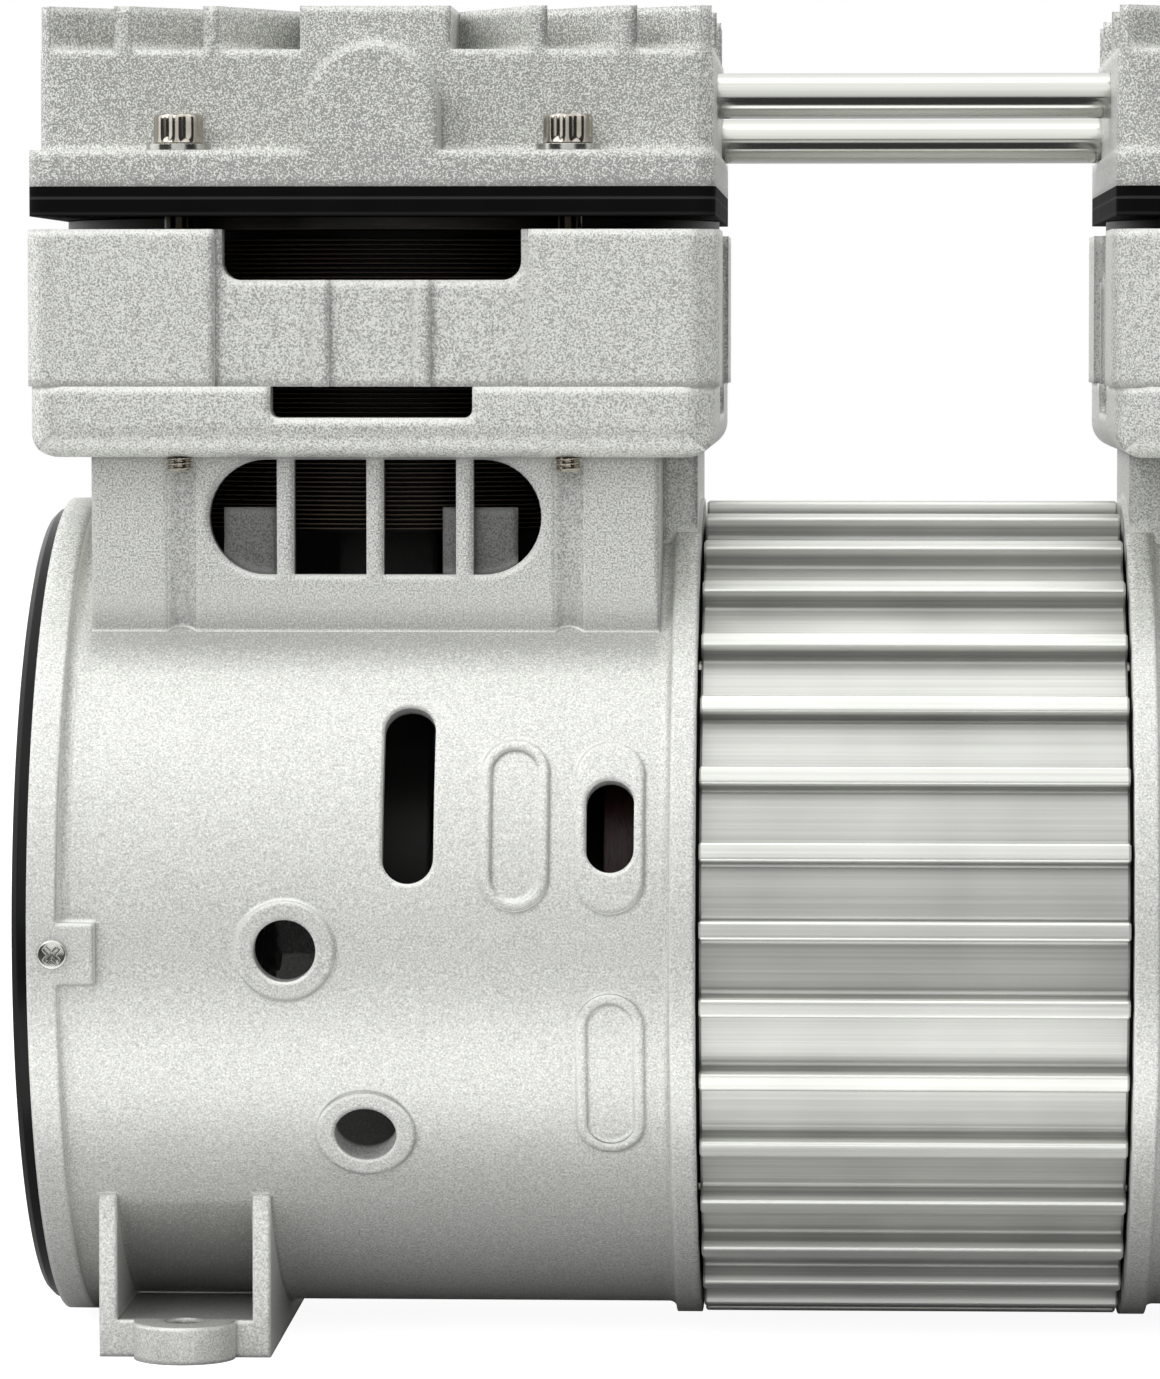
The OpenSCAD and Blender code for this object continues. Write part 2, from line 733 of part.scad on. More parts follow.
module crankcase(side) {
    neck_w = neck_width - 2 * neck_wall;
    neck_d = neck_depth - 2 * neck_wall;
    color("gainsboro") on_side(side) {
        difference() {
            union() {
                barrel();
                neck();
                deck();
                translate([face_x + 0.5, -web_depth / 2, axis_height])
                    cube([inner_reach - neck_width / 2 + 0.5, web_depth, neck_height + eps]);
                foot();
                front_and_back() cast_pads();
            }
            shaft_ring(face_x - 1, end_x + 1, chamber_r);
            translate([head_x - neck_w / 2, -neck_d / 2, axis_height])
                cube([neck_w, neck_d, neck_height + deck_floor + 1]);
            translate([head_x, 0, deck_z + deck_floor]) linear_extrude(deck_height)
                stack_hollow();
            for (turn = [0, 90]) translate([head_x, 0, shroud_z - deck_notch_h]) rotate([90, 0, turn])
                translate([0, 0, -stack_width]) linear_extrude(2 * stack_width)
                    round_foot_rect(deck_notch_w, deck_notch_h + 1, deck_notch_corner);
            neck_window();
            front_and_back() vents();
            bolt_holes(head_bolt_d + 2 * seat_gap, deck_z - 1, shroud_z + 1);
            for (y = [-1, 1]) translate([head_x + foot_offset, y * foot_hole_spacing / 2, -1])
                cylinder(d = foot_hole_d, h = foot_thickness + 2);
        }
        bulkhead();
        neck_stubs();
        difference() {
            union() {
                shaft_ring(face_x - spigot_length, face_x + motor_flange_w, spigot_r, spigot_r - spigot_wall);
                shaft_ring(face_x, face_x + motor_flange_w, chamber_r + 1, spigot_r - spigot_wall);
            }
            at_tie_bolts() cylinder(d = tie_bolt_d + 2 * bolt_gap, h = end_x);
        }
    }
}

module end_cover(side) {
    skirt_r = chamber_r - seat_gap;
    rings = floor((skirt_r - cover_skirt_wall - grille_hub) / (grille_gap + grille_ring));
    color([0.05, 0.05, 0.05]) on_side(side) {
        difference() {
            about_shaft() rotate_extrude() polygon([
                [0, end_x], [cover_d / 2, end_x], [cover_d / 2, end_x + cover_thickness - 0.8],
                [cover_d / 2 - 0.8, end_x + cover_thickness], [0, end_x + cover_thickness]
            ]);
            difference() {
                for (i = [1 : rings]) {
                    outer = skirt_r - cover_skirt_wall - (i - 1) * (grille_gap + grille_ring);
                    shaft_ring(end_x - 1, end_x + cover_thickness + 1, outer, outer - grille_gap);
                }
                for (i = [0 : grille_spokes - 1]) about_shaft() rotate(i * 360 / grille_spokes)
                    translate([0, -1.2, end_x - 2]) cube([skirt_r, 2.4, cover_thickness + 4]);
            }
        }
        difference() {
            shaft_ring(end_x - cover_skirt, end_x + eps, skirt_r, skirt_r - cover_skirt_wall);
            front_and_back() translate([cover_screw_x, 0, axis_height + screw_tab_z]) rotate([90, 0, 0])
                cylinder(r = cover_screw_d / 2 + seat_gap, h = flange_r);
        }
    }
}

module end_cover_screws() {
    color("silver") for (side = [left, right]) on_side(side) front_and_back()
        translate([cover_screw_x, 0, axis_height + screw_tab_z]) rotate([90, 0, 0]) difference() {
            union() {
                translate([0, 0, flange_r]) cylinder(d = cover_screw_head, h = 1.1);
                translate([0, 0, chamber_r - cover_skirt_wall - 0.5])
                    cylinder(d = cover_screw_d, h = flange_r - chamber_r + cover_skirt_wall + 1);
            }
            for (turn = [45, 135]) translate([0, 0, flange_r + 1]) rotate(turn)
                cube([cover_screw_head * 0.62, 0.6, 1], center = true);
        }
}

module cylinder_liner(side) {
    fins = floor((liner_top_z - liner_bottom_z - 1) / liner_pitch);
    root = concat(
        [[bore_r, liner_bottom_z], [liner_r, liner_bottom_z]],
        [for (i = [0 : fins - 1], k = [0 : 3]) [
            k == 0 || k == 3 ? liner_r : fin_r,
            liner_bottom_z + 0.4 + (i + (k < 2 ? 0 : 0.55)) * liner_pitch
        ]],
        [[liner_r, liner_top_z], [liner_flange_d / 2, liner_top_z],
         [liner_flange_d / 2, plate_z], [bore_r, plate_z]]
    );
    color([0.12, 0.09, 0.08]) on_side(side) translate([head_x, 0, 0]) rotate_extrude() polygon(root);
}

module cylinder_shroud(side) {
    w = stack_width + shroud_extra;
    color("gainsboro") on_side(side) difference() {
        union() {
            difference() {
                translate([head_x, 0, shroud_z]) linear_extrude(shroud_height)
                    round_rect(w, stack_width, corner_radius);
                for (turn = [0 : 3]) translate([head_x, 0, shroud_z - 1]) rotate(90 * turn)
                    translate([-panel_half_w, (turn % 2 == 0 ? stack_width : w) / 2 - panel_depth, 0])
                        cube([2 * panel_half_w, 10, shroud_height + 2]);
            }
            for (turn = [0 : 3], x = [-1, 1]) translate([head_x, 0, shroud_z]) rotate(90 * turn)
                translate([x * rib_at - rib_w / 2,
                    (turn % 2 == 0 ? stack_width : w) / 2 - panel_depth - 1, 0])
                    cube([rib_w, rib_out + 1, shroud_height]);
        }
        translate([head_x, 0, shroud_z - 1]) linear_extrude(shroud_height + 2)
            stack_hollow();
        for (turn = [0, 90]) translate([head_x, 0, liner_top_z - notch_height]) rotate([90, 0, turn])
            translate([0, 0, -stack_width]) linear_extrude(2 * stack_width)
                round_foot_rect(2 * notch_half_w, notch_height + 1, notch_corner);
        bolt_holes(head_bolt_d + 2 * bolt_gap, shroud_z - 1, liner_top_z + 1);
    }
}

// A port of the valve plate, at the middle of a reed
module at_valve_port(y) {
    translate([head_x + valve_port_x, y, 0]) children();
}

module valve_plate(side) {
    color([0.04, 0.04, 0.04]) on_side(side) difference() {
        translate([head_x, 0, plate_z]) linear_extrude(plate_thickness)
            round_rect(stack_width, stack_width, plate_corner);
        bolt_holes(head_bolt_d + 2 * bolt_gap, plate_z - 1, gasket_z + 1);
        for (y = [-intake_reed_y, exhaust_reed_y]) {
            at_valve_port(y) translate([0, 0, plate_z - 1])
                cylinder(d = valve_port_d, h = plate_thickness + 2);
            translate([head_x + reed_screw_x, y, plate_z - 1])
                cylinder(r = reed_screw_d / 2 + seat_gap, h = plate_thickness + 2);
        }
        // room for the tail of each reed as it tips
        translate([head_x + reed_hinge_x, -intake_reed_y - reed_width / 2 - 0.5, plate_z - 1])
            cube([reed_tab + 0.5, reed_width + 1, tab_relief + 1]);
        translate([head_x + reed_hinge_x, exhaust_reed_y - reed_width / 2 - 0.5, gasket_z - tab_relief])
            cube([reed_tab + 0.5, reed_width + 1, tab_relief + 1]);
        translate([head_x, 0, plate_z - 1]) difference() {
            cylinder(r = seal_r + 0.8, h = seal_cord + 1);
            cylinder(r = seal_r - 0.8, h = seal_cord + 1);
        }
    }
}

// The two gas chambers, seen from above: intake in front, exhaust behind
module chambers_2d() {
    front_l = chamber_y + divider_front;
    back_l = chamber_y - divider_back;
    translate([head_x, (divider_front - chamber_y) / 2])
        round_rect(2 * chamber_x, front_l, chamber_corner);
    translate([head_x, (divider_back + chamber_y) / 2])
        round_rect(2 * chamber_x, back_l, chamber_corner);
}

module head_gasket(side) {
    color([0.08, 0.08, 0.08]) on_side(side) difference() {
        translate([head_x, 0, gasket_z]) linear_extrude(gasket_thickness)
            round_rect(stack_width, stack_width, plate_corner);
        translate([0, 0, gasket_z - 1]) linear_extrude(gasket_thickness + 2) chambers_2d();
        bolt_holes(head_bolt_d + 2 * bolt_gap, gasket_z - 1, head_z + 1);
    }
}

// The raised ribs on top of the head, all aimed at its middle
module head_ribs() {
    half_w = head_width / 2;
    half_d = head_depth / 2;
    aims = [atan2(half_d, 22.9), atan2(half_d, 35.2), atan2(half_d, half_w), atan2(16, half_w)];
    h = head_rib_height;
    translate([head_x, 0, rib_floor_z]) intersection() {
        linear_extrude(h) round_rect(head_width, head_depth, plate_corner);
        union() {
            for (a = aims, way = [-1, 1]) rotate(way * a) translate([-head_width, -head_rib / 2, -1])
                cube([2 * head_width, head_rib, h + 2]);
            translate([-head_block / 2, -head_depth, -1]) cube([head_block, 2 * head_depth, h + 2]);
        }
    }
}

module port_boss() {
    r = port_boss_w / 2;
    translate([head_x, -port_reach, port_z]) rotate([-90, 0, 0]) cylinder(r = r, h = port_reach - chamber_y);
    translate([head_x - r, -port_reach, ledge_z - 1])
        cube([port_boss_w, port_reach - chamber_y, port_z - ledge_z + 1]);
}

// The threaded port and its way into a chamber, at the front
module port_hole() {
    translate([head_x, -port_reach - 1, port_z]) rotate([-90, 0, 0]) {
        cylinder(d = port_d, h = port_depth + 1);
        cylinder(d = port_throat_d, h = port_reach - chamber_y + 2);
    }
}

module tube_seat(at) {
    translate([0, at[0], at[1]]) rotate([0, 90, 0]) {
        translate([0, 0, head_x - head_width / 2 - 1])
            cylinder(r = tube_d / 2 + seat_gap, h = head_width / 2 - chamber_x + 2);
        translate([0, 0, o_ring_x - o_ring_land / 2])
            cylinder(r = tube_d / 2 + o_ring_cord + 0.1, h = o_ring_land);
    }
}

module cylinder_head(side) {
    color("gainsboro") on_side(side) difference() {
        union() {
            translate([head_x, 0, head_z]) linear_extrude(head_flange)
                round_rect(stack_width, stack_width, plate_corner);
            translate([head_x, 0, ledge_z - eps]) linear_extrude(rib_floor_z - ledge_z + 2 * eps)
                round_rect(head_width, head_depth, plate_corner);
            head_ribs();
            front_and_back() port_boss();
        }
        translate([0, 0, head_z - 1]) linear_extrude(chamber_top_z - head_z + 1) chambers_2d();
        bolt_holes(head_bolt_d + 2 * bolt_gap, head_z - 1, ledge_z + 1);
        tube_seat(front_tube_at);
        tube_seat(rear_tube_at);
        mirror([0, side == left ? 1 : 0, 0]) port_hole();
    }
}

module head_bolts(side) {
    seat = ledge_z + washer_thickness;
    color("silver") on_side(side) at_bolts() {
        translate([0, 0, deck_z - bolt_tail])
            cylinder(d = head_bolt_d, h = seat - deck_z + bolt_tail + eps);
        translate([0, 0, seat]) difference() {
            cylinder(d = bolt_head_d, h = bolt_head_h);
            translate([0, 0, bolt_head_h / 2])
                cylinder(d = bolt_head_d / 2, h = bolt_head_h, $fn = 6);
        }
    }
}

module head_bolt_washers() {
    color("silver") for (side = [left, right]) on_side(side) at_bolts()
        translate([0, 0, ledge_z]) difference() {
            cylinder(d = washer_d, h = washer_thickness);
            translate([0, 0, -1]) cylinder(r = head_bolt_d / 2 + seat_gap, h = washer_thickness + 2);
        }
}

module transfer_tube(at) {
    color([0.85, 0.85, 0.86]) translate([-tube_end_x, at[0], at[1]]) rotate([0, 90, 0]) difference() {
        cylinder(d = tube_d, h = 2 * tube_end_x);
        translate([0, 0, -1]) cylinder(d = tube_d - 2 * tube_wall, h = 2 * tube_end_x + 2);
    }
}

module transfer_tube_o_rings() {
    color([0.1, 0.1, 0.1]) for (side = [left, right], at = [front_tube_at, rear_tube_at])
        on_side(side) translate([o_ring_x, at[0], at[1]]) rotate([0, 90, 0]) rotate_extrude()
            translate([tube_d / 2 + seat_gap + o_ring_cord / 2, 0]) circle(d = o_ring_cord);
}

module cylinder_o_rings() {
    color([0.1, 0.1, 0.1]) for (side = [left, right]) on_side(side)
        translate([head_x, 0, plate_z + seal_cord / 2]) rotate_extrude()
            translate([seal_r, 0]) circle(d = seal_cord);
}

// A reed with its tail, drawn from its hinge line
module reed(side, y, z) {
    color("lightsteelblue") on_side(side) translate([head_x, y, z]) difference() {
        union() {
            translate([reed_hinge_x - reed_length + reed_width / 2, 0, 0])
                cylinder(d = reed_width, h = reed_thickness);
            translate([reed_hinge_x - reed_length + reed_width / 2, -reed_width / 2, 0])
                cube([reed_length - reed_width / 2 + reed_tab, reed_width, reed_thickness]);
        }
        translate([reed_screw_x, 0, -1]) cylinder(r = reed_screw_d / 2 + 0.2, h = 2);
    }
}

module exhaust_reed_stops() {
    rise = tan(reed_opening + 1.5) * reed_length;
    color("gray") for (side = [left, right]) on_side(side)
        translate([head_x, exhaust_reed_y + reed_width / 2, gasket_z + reed_thickness]) difference() {
            rotate([90, 0, 0]) linear_extrude(reed_width) polygon([
                [reed_hinge_x + reed_tab, 0], [reed_hinge_x + reed_tab, stop_thickness],
                [reed_hinge_x, stop_thickness], [reed_hinge_x - reed_length, rise + stop_thickness],
                [reed_hinge_x - reed_length, rise], [reed_hinge_x, 0]
            ]);
            translate([reed_screw_x, -reed_width / 2, -1])
                cylinder(r = reed_screw_d / 2 + seat_gap, h = stop_thickness + 2);
        }
}

module reed_clamp_screws() {
    color("silver") for (side = [left, right]) on_side(side) {
        translate([head_x + reed_screw_x, -intake_reed_y, plate_z - reed_thickness]) {
            translate([0, 0, -eps]) cylinder(d = reed_screw_d, h = reed_thickness + plate_thickness + eps);
            translate([0, 0, -reed_screw_head_h]) cylinder(d = reed_screw_head_d, h = reed_screw_head_h);
        }
        translate([head_x + reed_screw_x, exhaust_reed_y, plate_z]) {
            cylinder(d = reed_screw_d, h = plate_thickness + reed_thickness + stop_thickness + eps);
            translate([0, 0, plate_thickness + reed_thickness + stop_thickness])
                cylinder(d = reed_screw_head_d, h = reed_screw_head_h);
        }
    }
}

// One ring of a ball bearing about Z, centred on z = 0
module race(outer, inner, pitch, ball, w) {
    difference() {
        translate([0, 0, -w / 2]) cylinder(r = outer, h = w);
        translate([0, 0, -w / 2 - 1]) cylinder(r = inner, h = w + 2);
        rotate_extrude() translate([pitch, 0]) circle(r = ball + ball_gap);
    }
}

module balls(count, pitch, ball) {
    for (i = [0 : count - 1]) rotate(i * 360 / count) translate([pitch, 0, 0]) sphere(r = ball);
}

module at_main_bearing(side) {
    on_side(side) about_shaft() translate([0, 0, bearing_x]) children();
}

// The centre of a crank journal, with Z along the shaft
module at_journal(side) {
    on_side(side) translate([head_x, 0, axis_height + crank_way(side) * crank_throw])
        rotate([0, 90, 0]) children();
}

module bearing_outer_ring(side) {
    color("lightgray") at_main_bearing(side)
        race(main_bearing_od / 2, main_pitch_r + race_share * main_ball_r,
            main_pitch_r, main_ball_r, main_bearing_w);
}

module bearing_inner_ring(side) {
    color("lightgray") at_main_bearing(side)
        race(main_pitch_r - race_share * main_ball_r, shaft_d / 2 + seat_gap,
            main_pitch_r, main_ball_r, main_bearing_w);
}

module main_bearing_balls() {
    color("silver") for (side = [left, right])
        at_main_bearing(side) balls(main_balls, main_pitch_r, main_ball_r);
}

module rod_bearing_outer_ring(side) {
    color("lightgray") at_journal(side)
        race(rod_bearing_od / 2, rod_pitch_r + race_share * rod_ball_r,
            rod_pitch_r, rod_ball_r, rod_bearing_w);
}

module rod_bearing_inner_ring(side) {
    color("lightgray") at_journal(side)
        race(rod_pitch_r - race_share * rod_ball_r, journal_d / 2 + seat_gap,
            rod_pitch_r, rod_ball_r, rod_bearing_w);
}

module rod_bearing_balls() {
    color("silver") for (side = [left, right])
        at_journal(side) balls(rod_balls, rod_pitch_r, rod_ball_r);
}

module motor_shaft() {
    shoulder_x = bearing_x - main_bearing_w / 2;
    groove_w = 1.2;
    color("lightgray") {
        difference() {
            union() {
                shaft_ring(-shoulder_x, shoulder_x, shoulder_r);
                shaft_ring(-fan_x, fan_x, shaft_d / 2);
                shaft_ring(-shaft_end_x, shaft_end_x, fan_shaft_d / 2);
            }
            for (side = [left, right]) on_side(side)
                shaft_ring(fan_end_x, fan_end_x + groove_w, fan_shaft_d / 2 + 1, fan_shaft_d / 2 - 0.6);
        }
    }
}

module rotor_core() {
    color("dimgray") shaft_ring(-core_length / 2, core_length / 2, rotor_r, shoulder_r + seat_gap);
}

module rotor_end_rings() {
    blade_w = 3;
    color("silver") for (side = [left, right]) on_side(side) {
        shaft_ring(core_length / 2, core_length / 2 + end_ring_w, rotor_r - 1, rotor_r - 9);
        for (i = [0 : 7]) about_shaft() rotate(45 * i)
            translate([rotor_r - 8, -blade_w / 2, core_length / 2 + 1])
                cube([6, blade_w, end_ring_w + 3]);
    }
}

module eccentric(side) {
    way = crank_way(side);
    w0 = rod_x0 - 1.5 - counterweight_w;
    hub_r = journal_d / 2;
    color("darkgray") on_side(side) difference() {
        union() {
            translate([rod_x0 - 1.5 - eps, 0, axis_height + way * crank_throw]) rotate([0, 90, 0])
                cylinder(d = journal_d, h = rod_width + 1.5);
            shaft_ring(w0, rod_x0 - 1.5, hub_r);
            intersection() {
                shaft_ring(w0, rod_x0 - 1.5, counterweight_r);
                translate([w0 - 1, -counterweight_r, axis_height - way * counterweight_r / 2
                    - counterweight_r / 2])
                    cube([counterweight_w + 2, 2 * counterweight_r, counterweight_r]);
            }
            translate([rod_x0 - 1.5, 0, axis_height + way * crank_throw]) rotate([0, 90, 0])
                cylinder(r = journal_d / 2 + 2, h = 1.5 + (rod_width - rod_bearing_w) / 2);
        }
        shaft_ring(w0 - 1, head_x + rod_width, shaft_d / 2 + seat_gap);
        translate([w0 + counterweight_w / 2, 0, axis_height]) rotate([90 - 90 * way, 0, 0])
            cylinder(r = set_screw_d / 2 + seat_gap, h = counterweight_r);
    }
}

module eccentric_set_screws() {
    color("dimgray") for (side = [left, right]) on_side(side)
        translate([rod_x0 - 1.5 - counterweight_w / 2, 0, axis_height])
            rotate([90 - 90 * crank_way(side), 0, 0]) translate([0, 0, shaft_d / 2 + 0.05])
                cylinder(d = set_screw_d, h = set_screw_l);
}

module fan(side) {
    hub_r = fan_shaft_d / 2 + fan_hub_wall;
    blade = fan_length * 1.25;
    color([0.15, 0.15, 0.16]) on_side(side) difference() {
        union() {
            shaft_ring(fan_x, fan_end_x, hub_r);
            intersection() {
                shaft_ring(fan_x + 1, fan_end_x - 1, fan_d / 2, hub_r - 1);
                for (i = [0 : fan_blades - 1]) about_shaft() rotate(i * 360 / fan_blades)
                    translate([0, 0, (fan_x + fan_end_x) / 2]) rotate([55, 0, 0])
                        translate([0, -blade, -0.8]) cube([fan_d / 2, 2 * blade, 1.6]);
            }
        }
        shaft_ring(fan_x - 1, fan_end_x + 1, fan_shaft_d / 2 + seat_gap);
    }
}

module fan_circlips() {
    ring_r = fan_shaft_d / 2;
    color("dimgray") for (side = [left, right]) on_side(side) difference() {
        shaft_ring(fan_end_x + 0.1, fan_end_x + 1.1, ring_r + 2, ring_r - 0.5);
        translate([fan_x, -1.5, axis_height]) cube([shaft_end_x - fan_x, 3, ring_r + 4]);
    }
}

// The rod is drawn from the centre of its journal
module connecting_rod(side) {
    top = rod_length;
    neck_z = top - piston_disc + rod_cone_drop - rod_cone_h;
    color("silver") on_side(side) translate([head_x, 0, axis_height + crank_way(side) * crank_throw])
        difference() {
            union() {
                rotate([0, 90, 0]) translate([0, 0, -rod_width / 2]) cylinder(r = big_end_r, h = rod_width);
                translate([-rod_width / 2, 0, 0]) rotate([90, 0, 90]) linear_extrude(rod_width)
                    polygon([[-rod_root, 0], [rod_root, 0], [rod_tip, neck_z], [-rod_tip, neck_z]]);
                translate([0, 0, neck_z - rod_cone_drop])
                    cylinder(r1 = rod_cone_r, r2 = piston_r - 3, h = rod_cone_h + eps);
                translate([0, 0, top - piston_disc]) cylinder(r = piston_r, h = piston_disc);
            }
            rotate([0, 90, 0]) translate([0, 0, -rod_width])
                cylinder(r = rod_bearing_od / 2 + seat_gap, h = 2 * rod_width);
            for (way = [-1, 1]) translate([way * rod_width / 2, 0, 0]) rotate([90, 0, 90])
                translate([0, 0, -rod_pocket_gap]) linear_extrude(2 * rod_pocket_gap) polygon([
                    [-rod_pocket_root, big_end_r + rod_pocket_gap],
                    [rod_pocket_root, big_end_r + rod_pocket_gap],
                    [rod_pocket_tip, neck_z - 1.5 * rod_pocket_gap],
                    [-rod_pocket_tip, neck_z - 1.5 * rod_pocket_gap]
                ]);
            translate([0, 0, top - retainer_bolt_l])
                cylinder(r = retainer_bolt_d / 2 + seat_gap, h = retainer_bolt_l + 1);
        }
}

module at_crown(side) {
    on_side(side) translate([head_x, 0,
        axis_height + crank_way(side) * crank_throw + rod_length]) children();
}

module piston_cup(side) {
    t = cup_thickness;
    hole_r = retainer_bolt_d / 2 + seat_gap;
    color("ivory") at_crown(side) rotate_extrude() polygon([
        [hole_r, 0], [piston_r, 0], [cup_r, cup_lip - 2], [cup_r, cup_lip],
        [cup_r - t, cup_lip], [cup_r - t, cup_lip - 1.6], [piston_r - 0.5, t], [hole_r, t]
    ]);
}

module cup_retainer(side) {
    color("silver") at_crown(side) translate([0, 0, cup_thickness]) difference() {
        cylinder(d = retainer_d, h = retainer_thickness);
        translate([0, 0, -1]) cylinder(r = retainer_bolt_d / 2 + seat_gap, h = retainer_thickness + 2);
        translate([0, 0, retainer_thickness - retainer_head_h])
            cylinder(r = retainer_head_d / 2 + 0.2, h = retainer_head_h + 1);
    }
}

module retainer_screw(side) {
    seat = cup_thickness + retainer_thickness - retainer_head_h;
    color("gray") at_crown(side) {
        translate([0, 0, 1 - retainer_bolt_l]) cylinder(d = retainer_bolt_d, h = retainer_bolt_l - 1 + seat);
        translate([0, 0, seat]) cylinder(d = retainer_head_d, h = retainer_head_h - 0.1);
    }
}

motor_shell();
stator_core();
stator_windings();
tie_bolts();
crankcase(left);  // left_crankcase
crankcase(right);  // right_crankcase
end_cover(left);  // left_end_cover
end_cover(right);  // right_end_cover
end_cover_screws();
cylinder_liner(left);  // left_cylinder
cylinder_liner(right);  // right_cylinder
cylinder_shroud(left);  // left_cylinder_shroud
cylinder_shroud(right);  // right_cylinder_shroud
valve_plate(left);  // left_valve_plate
valve_plate(right);  // right_valve_plate
head_gasket(left);  // left_head_gasket
head_gasket(right);  // right_head_gasket
cylinder_head(left);  // left_cylinder_head
cylinder_head(right);  // right_cylinder_head
head_bolts(left);  // left_head_bolts
head_bolts(right);  // right_head_bolts
head_bolt_washers();
transfer_tube(front_tube_at);  // front_transfer_tube
transfer_tube(rear_tube_at);  // rear_transfer_tube
transfer_tube_o_rings();
bearing_outer_ring(left);  // left_bearing_outer_ring
bearing_outer_ring(right);  // right_bearing_outer_ring
cylinder_o_rings();
exhaust_reed_stops();
reed_clamp_screws();
motor_shaft();
rotor_core();
rotor_end_rings();
eccentric(left);  // left_eccentric
eccentric(right);  // right_eccentric
eccentric_set_screws();
fan(left);  // left_fan
fan(right);  // right_fan
fan_circlips();
bearing_inner_ring(left);  // left_bearing_inner_ring
bearing_inner_ring(right);  // right_bearing_inner_ring
main_bearing_balls();
rod_bearing_inner_ring(left);  // left_rod_bearing_inner_ring
rod_bearing_inner_ring(right);  // right_rod_bearing_inner_ring
rod_bearing_balls();
connecting_rod(left);  // left_connecting_rod
connecting_rod(right);  // right_connecting_rod
rod_bearing_outer_ring(left);  // left_rod_bearing_outer_ring
rod_bearing_outer_ring(right);  // right_rod_bearing_outer_ring
piston_cup(left);  // left_piston_cup
piston_cup(right);  // right_piston_cup
cup_retainer(left);  // left_cup_retainer
cup_retainer(right);  // right_cup_retainer
retainer_screw(left);  // left_retainer_screw
retainer_screw(right);  // right_retainer_screw
reed(left, -intake_reed_y, plate_z - reed_thickness);  // left_intake_reed
reed(left, exhaust_reed_y, gasket_z);  // left_exhaust_reed
reed(right, -intake_reed_y, plate_z - reed_thickness);  // right_intake_reed
reed(right, exhaust_reed_y, gasket_z);  // right_exhaust_reed
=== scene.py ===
# Twin-head oil-free piston vacuum pump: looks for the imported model.
# Units are metres. X runs along the motor shaft, -Y is the front, Z is up.
import json
import math

import bpy
import numpy as np
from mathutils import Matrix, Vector


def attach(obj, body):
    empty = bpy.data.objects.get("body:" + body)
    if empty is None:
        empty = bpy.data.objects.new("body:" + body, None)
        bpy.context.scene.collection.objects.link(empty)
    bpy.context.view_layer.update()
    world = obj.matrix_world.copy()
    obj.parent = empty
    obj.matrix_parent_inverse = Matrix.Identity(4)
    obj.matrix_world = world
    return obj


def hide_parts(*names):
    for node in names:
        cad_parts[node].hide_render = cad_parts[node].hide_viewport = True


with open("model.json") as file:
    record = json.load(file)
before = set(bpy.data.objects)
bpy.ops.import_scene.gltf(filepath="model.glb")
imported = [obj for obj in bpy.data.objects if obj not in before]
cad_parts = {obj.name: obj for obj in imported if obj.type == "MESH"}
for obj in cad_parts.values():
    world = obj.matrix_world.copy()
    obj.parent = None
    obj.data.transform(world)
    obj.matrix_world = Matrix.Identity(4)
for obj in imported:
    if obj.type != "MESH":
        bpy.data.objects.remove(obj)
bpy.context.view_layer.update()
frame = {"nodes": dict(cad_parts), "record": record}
nodes = frame["nodes"]
mm = 0.001
print("frame loaded:", len(nodes), "nodes")

# Shader maths: a Value wraps one output socket, and arithmetic on it adds Math nodes


class Value:
    def __init__(self, finish, socket):
        self.finish = finish
        self.socket = socket

    def maths(self, operation, first, second=0.0):
        return self.finish.node("ShaderNodeMath", {"operation": operation}, {0: first, 1: second})

    def __add__(self, other):
        return self.maths("ADD", self, other)

    def __radd__(self, other):
        return self.maths("ADD", other, self)

    def __sub__(self, other):
        return self.maths("SUBTRACT", self, other)

    def __rsub__(self, other):
        return self.maths("SUBTRACT", other, self)

    def __mul__(self, other):
        return self.maths("MULTIPLY", self, other)

    def __rmul__(self, other):
        return self.maths("MULTIPLY", other, self)

    def __truediv__(self, other):
        return self.maths("DIVIDE", self, other)

    def __pow__(self, other):
        return self.maths("POWER", self, other)

    def __abs__(self):
        return self.maths("ABSOLUTE", self)

    def clamped(self):
        return self.finish.node("ShaderNodeClamp", {}, {0: self})


